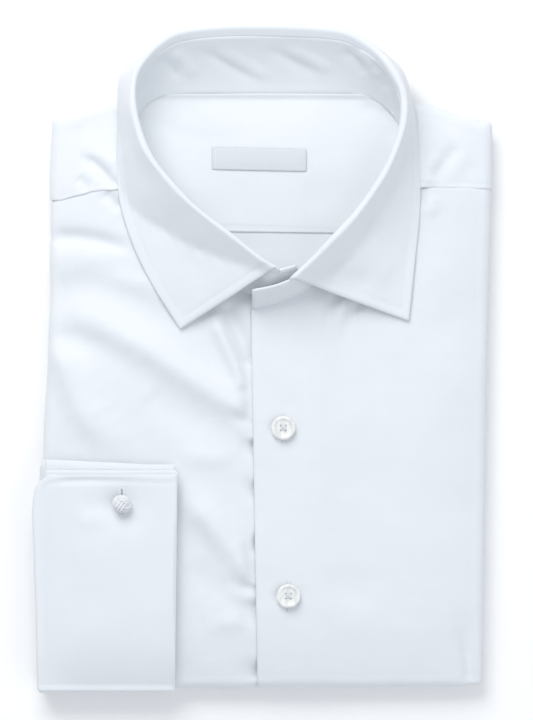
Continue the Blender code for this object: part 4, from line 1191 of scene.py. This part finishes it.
leaf_front = leaf_grid[:, LEAF_START:]
collar_stitches = [
    level_line(leaf_front, leaf_edge[:, LEAF_START:], TOPSTITCH, leaf_front[0, 0]),
    level_line(band_grid, band_across, BAND_STITCHES[0], band_grid[0, 0]),
    level_line(band_grid, band_across, BAND_STITCHES[1], band_grid[0, -1]),
]
stitch_rows("collar_stitches", collar_stitches, "poplin")
stitch_rows("yoke_stitches", [
    level_line(grid, seam, YOKE_STITCH, grid[0, 0]) for grid, seam in (yoke_right, yoke_left)
], "poplin")
inside_row = level_line(inside_grid, inside_seam, INSIDE_STITCH, inside_grid[0, 0])
stitch_rows("inside_stitches", [inside_row], "poplin_inside")
stitch_rows("cuff_stitches", [level_line(cuff_top, cuff_edge, CUFF_STITCH, cuff_top[-1, 0])],
            "poplin")
label_ends = [label_grid[3:-3, k] + (0, 0, 0.00005) for k in (2, -3)]
stitch_rows("label_stitches", label_ends, "label_satin", pitch=0.0011, length=0.0009,
            width=0.00022)

# ==== Buttons
# Two four-hole buttons of mother-of-pearl, with a raised rim, sewn through with a crossed
# thread. Behind each one the ends of its embroidered buttonhole show.
BUTTON_PLACES = ((0.0109, -0.0363), (0.0136, -0.1253))
BUTTON_PROFILE = (        # radius, height
    (0.0000, 0.0000), (0.0040, 0.0000), (0.0052, 0.0003), (0.0060, 0.0010), (0.00635, 0.0017),
    (0.0062, 0.0023), (0.0057, 0.0027), (0.0050, 0.0027), (0.0043, 0.0023), (0.0036, 0.0020),
    (0.0024, 0.0019), (0.0000, 0.0019),
)
HOLE_RADIUS = 0.00058
HOLE_RING = 0.0017


def pearl_finish():
    finish = Finish("Pearl", Specular_IOR_Level=0.6, Coat_Roughness=0.08, Coat_Weight=0.5)
    place = finish.add("ShaderNodeTexCoord", output="Object")
    wisps = finish.noise(place, 260.0, 4.0, 0.6)
    bands = finish.add("ShaderNodeTexWave", {"wave_type": "BANDS"},
                       {"Vector": place, "Scale": 90.0, "Distortion": 9.0, "Detail": 3.0}, 1)
    tone = wisps * 0.6 + bands * 0.4
    finish.shade("Base Color", finish.mix(tone, (0.68, 0.69, 0.665, 1), (0.95, 0.95, 0.93, 1)))
    finish.shade("Roughness", wisps * 0.15 + 0.16)
    finish.shade("Normal", finish.bump(bands, 0.15, 0.0001))
    return finish.material


pearl = pearl_finish()


def turned(name, profile, place, segments, material):
    """A solid turned round Z from (radius, height) rows, whose first and last lie on the axis."""
    angles = np.linspace(0, 2 * math.pi, segments, endpoint=False)
    circle = np.stack([np.cos(angles), np.sin(angles), np.zeros(segments)], axis=1)
    up = np.array([0.0, 0.0, 1.0])
    rings = [place + radius * circle + height * up for radius, height in profile[1:-1]]
    points = np.vstack(rings + [place + profile[0][1] * up, place + profile[-1][1] * up])
    first, last = len(points) - 2, len(points) - 1
    top = (len(rings) - 1) * segments
    faces = []
    for j in range(segments):
        k = (j + 1) % segments
        faces += [(first, k, j), (last, top + j, top + k)]
        for i in range(len(rings) - 1):
            faces.append((i * segments + j, i * segments + k,
                          (i + 1) * segments + k, (i + 1) * segments + j))
    return mesh_piece(name, points, faces, material)


def cut_away(piece, cutters):
    """Takes the cutters out of a piece for good, and removes them."""
    for cutter in cutters:
        boolean = piece.modifiers.new("cut", "BOOLEAN")
        boolean.operation = "DIFFERENCE"
        boolean.solver = "EXACT"
        boolean.use_self = True
        boolean.object = cutter
    settle(piece)
    for cutter in cutters:
        bpy.data.objects.remove(cutter)


def front_face(x, y):
    return float(crown(x, y) + front_lift(x, y))


def thread_cross(place):
    """Three strands between each pair of opposite holes, the second pair over the first."""
    arc = np.linspace(0, math.pi, 9)[:, None]
    strands = []
    for pair in (0, 1):
        turn = math.radians(45 + 90 * pair)
        ahead = np.array([math.cos(turn), math.sin(turn), 0])
        aside = np.array([-math.sin(turn), math.cos(turn), 0])
        lift = np.array([0, 0, 0.0017 + 0.0003 * pair]) + np.sin(arc) * (0, 0, 0.0006)
        for strand in (-0.00032, 0.0, 0.00032):
            strands.append(place + HOLE_RING * ahead * np.cos(arc) + strand * aside + lift)
    return strands


def make_button(number, place):
    name = "button_%d" % number
    button = turned(name + "_pearl", smooth_path(BUTTON_PROFILE, 60), place, 96, pearl)
    profile = ((0, -0.002), (HOLE_RADIUS, -0.002), (HOLE_RADIUS, 0.005), (0, 0.005))
    holes = []
    for turn in np.radians((45, 135, 225, 315)):
        at = place + HOLE_RING * np.array([math.cos(turn), math.sin(turn), 0])
        holes.append(turned("hole", profile, at, 24, pearl))
    cut_away(button, holes)
    belongs(button, "pearl", name)


buttonhole_rows, thread_runs = [], []
for number, (x, y) in enumerate(BUTTON_PLACES, 1):
    place = np.array([x, y, front_face(x, y) + FRONT_CLOTH])
    make_button(number, place)
    thread_runs += thread_cross(place)
    for end in (-1, 1):
        ys = [y + end * (0.0050 + 0.0032 * share) for share in (0, 0.5, 1)]
        beside = x + 0.0002
        buttonhole_rows.append([(beside, b, front_face(beside, b) + 0.00005) for b in ys])
stitch_rows("button_thread", thread_runs, "pearl", pitch=0.00028, length=0.00042, width=0.00034)
stitch_rows("buttonholes", buttonhole_rows, "poplin", pitch=0.00026, length=0.0021,
            width=0.00034, across=True)

# ==== Silk knot
# A fancy knot of silk cord: three bands of three cords, woven over and under one another round
# a core, on a short cord through the buttonholes to a smaller knot under the cuff.
KNOT_RADIUS = 0.0052
CORD_RADIUS = 0.00078
KNOT_WEAVE = 0.00055


def silk_finish():
    finish = Finish("Silk cord", Specular_IOR_Level=0.5, Sheen_Weight=0.35, Sheen_Roughness=0.3)
    around, along = finish.flat()
    twist = (along * 5200.0 + around * 6.283).sine() * 0.5 + 0.5
    fibre = finish.noise(finish.add("ShaderNodeTexCoord", output="Object"), 2600.0, 2.0)
    tone = twist * 0.55 + fibre * 0.45
    finish.shade("Base Color", finish.mix(tone, (0.66, 0.68, 0.71, 1), (0.86, 0.87, 0.885, 1)))
    finish.shade("Roughness", fibre * 0.2 + 0.42)
    finish.shade("Normal", finish.bump(tone, 0.5, 0.00012))
    return finish.material


silk = silk_finish()


def cord_loop(axis, offset, radius, weave, thick, count=96, sides=10):
    """Points, faces and UVs of one closed cord of a knot."""
    turn = np.linspace(0, 2 * math.pi, count, endpoint=False)
    reach = radius + weave * np.cos(2 * turn)
    flat = np.sqrt(np.maximum(reach ** 2 - offset ** 2, 1e-12))
    line = np.zeros((count, 3))
    line[:, (axis + 1) % 3] = flat * np.cos(turn)
    line[:, (axis + 2) % 3] = flat * np.sin(turn)
    line[:, axis] = offset
    ahead = unit(np.roll(line, -1, axis=0) - np.roll(line, 1, axis=0))
    out = unit(line)
    side = unit(np.cross(ahead, out))
    out = np.cross(side, ahead)
    angle = np.linspace(0, 2 * math.pi, sides, endpoint=False)
    ring = side[:, None] * np.cos(angle)[:, None] + out[:, None] * np.sin(angle)[:, None]
    points = line[:, None] + thick * ring
    faces = []
    for i in range(count):
        for j in range(sides):
            a, b = i * sides + j, i * sides + (j + 1) % sides
            c, d = ((i + 1) % count) * sides + (j + 1) % sides, ((i + 1) % count) * sides + j
            faces.append((a, b, c, d))
    length = 2 * math.pi * radius / count
    uv = np.stack(np.meshgrid(angle / (2 * math.pi), np.arange(count) * length), axis=-1)
    return points.reshape(-1, 3), faces, uv.reshape(-1, 2)


def make_knot(name, centre, radius, thick, weave, squash, node):
    """Three bands of three cords round a core, turned so that no band lies level."""
    points, faces, uvs, count = [], [], [], 0
    ball = radius - thick - weave
    for axis in range(3):
        for lane in (-1, 0, 1):
            made = cord_loop(axis, lane * thick * 1.95, ball, weave, thick)
            points.append(made[0])
            faces += [tuple(k + count for k in face) for face in made[1]]
            uvs.append(made[2])
            count += len(made[0])
    turn = np.array([[0.82, -0.57, 0.0], [0.40, 0.58, -0.71], [0.41, 0.58, 0.71]])
    turn, _ = np.linalg.qr(turn.T)
    turn = turn * np.sign(np.linalg.det(turn))
    placed = np.vstack(points) @ turn.T * (1, 1, squash) + centre
    knot = mesh_piece(name, placed, faces, silk, np.vstack(uvs))
    belongs(knot, "silk", node)
    angles = np.linspace(-math.pi / 2, math.pi / 2, 14)
    profile = [(0.93 * ball * math.cos(a), 0.93 * ball * squash * math.sin(a)) for a in angles]
    core = turned(name + "_core", profile, centre, 32, shaded_silk_core)
    belongs(core, "silk")


# Painted shade: the core and the short cord take a dark grey, which stands for the shade in the
# gaps between the cords and in the slit.
shaded_silk_core = Finish("Core of the knot, painted dark as shade", Base_Color=(0.5, 0.52, 0.55, 1), Roughness=0.7).material
link_x, link_y = LINK_PLACE
link_top = float(cuff_height(link_x, link_y)) + CUFF_OUTER - 0.0009
link_low = float(cuff_height(link_x, link_y)) - CUFF_OUTER
make_knot("cufflink_knot_silk", np.array([link_x, link_y, link_top + 0.0046]), KNOT_RADIUS,
          CORD_RADIUS, KNOT_WEAVE, 0.86, "cufflink_knot")
make_knot("cufflink_under_silk", np.array([link_x, link_y, link_low - 0.0018]), 0.0040,
          0.0007, 0.0004, 0.42, "cufflink_knot_under")
cord_ends = ((0, link_low - 0.001), (0.0008, link_low - 0.001), (0.0008, link_top + 0.001),
             (0, link_top + 0.001))
cord = turned("cufflink_cord_silk", cord_ends, np.array([link_x, link_y, 0.0]), 16, shaded_silk_core)
belongs(cord, "silk", "cufflink_cord")


def slit_cutter(width, length):
    middle = link_y + 0.0014
    x, y = link_x + width / 2, middle + length / 2
    a, b = link_x - width / 2, middle - length / 2
    low, high = link_low - 0.003, link_top + 0.006
    points = [(i, j, z) for z in (low, high) for i, j in ((a, b), (x, b), (x, y), (a, y))]
    faces = [(3, 2, 1, 0), (4, 5, 6, 7), (0, 1, 5, 4), (1, 2, 6, 5), (2, 3, 7, 6), (3, 0, 4, 7)]
    return mesh_piece("slit", np.array(points), faces, cotton_fused)


cut_away(cuff, [slit_cutter(0.00036, 0.0126)])


def cuff_face(x, y):
    away = np.hypot(cuff_top[..., 0] - x, cuff_top[..., 1] - y)
    return cuff_top[np.unravel_index(away.argmin(), away.shape)][2]


slit_rows = []
for side in (-1, 1):
    ys = np.linspace(link_y - 0.0054, link_y + 0.0086, 26)
    slit_rows.append([(link_x + side * 0.00085, y, cuff_face(link_x, y) - 0.00002) for y in ys])
stitch_rows("cuff_buttonhole", slit_rows, "poplin", pitch=0.00027, length=0.0013,
            width=0.00032, across=True)

# ==== Table, light and camera
# The shirt lies on a plain white table, seen from straight above. A soft key light comes from
# beyond the collar, and a wide fill and a low card open the shadows on the other side.
floor_finish = Finish("Table", Base_Color=(0.975, 0.972, 0.965, 1), Roughness=0.9,
                      Specular_IOR_Level=0.1).material
floor = mesh_piece("table", np.array([(-4, -4, 0), (4, -4, 0), (4, 4, 0), (-4, 4, 0)], float),
                   [(0, 1, 2, 3)], floor_finish)


def area_light(name, place, size, power, colour):
    """A soft light that points at the middle of the shirt."""
    data = bpy.data.lights.new(name, "AREA")
    data.shape = "RECTANGLE"
    data.size, data.size_y = size
    data.energy = power
    data.color = colour
    light = bpy.data.objects.new(name, data)
    light.location = place
    light.rotation_mode = "QUATERNION"
    light.rotation_quaternion = Vector(place).to_track_quat("Z", "Y")
    scene.collection.objects.link(light)


area_light("key", (-0.36, 1.00, 1.06), (1.0, 1.0), 14.7, (1.0, 0.99, 0.98))
area_light("fill", (1.4, -0.9, 2.2), (2.4, 2.4), 16.0, (0.97, 0.985, 1.0))
area_light("card", (0.20, -1.60, 0.80), (1.8, 0.8), 0.7, (0.97, 0.98, 1.0))
world = bpy.data.worlds.new("Studio")
world.use_nodes = True
background = world.node_tree.nodes["Background"]
background.inputs["Color"].default_value = (0.88, 0.92, 0.995, 1)
background.inputs["Strength"].default_value = 0.62
scene.world = world
scene.view_settings.view_transform = "Standard"

CAMERA_HEIGHT = 4.0
VIEW_HEIGHT = 0.3816      # length of the view along Y, at the height of the crown
camera_data = bpy.data.cameras.new("camera")
camera_data.sensor_width = 36.0
camera_data.lens = camera_data.sensor_width * (CAMERA_HEIGHT - CROWN_HEIGHT) / VIEW_HEIGHT
camera_data.clip_end = 20.0
camera = bpy.data.objects.new("camera", camera_data)
camera.location = (0.0020, -0.0003, CAMERA_HEIGHT)
scene.collection.objects.link(camera)
scene.camera = camera
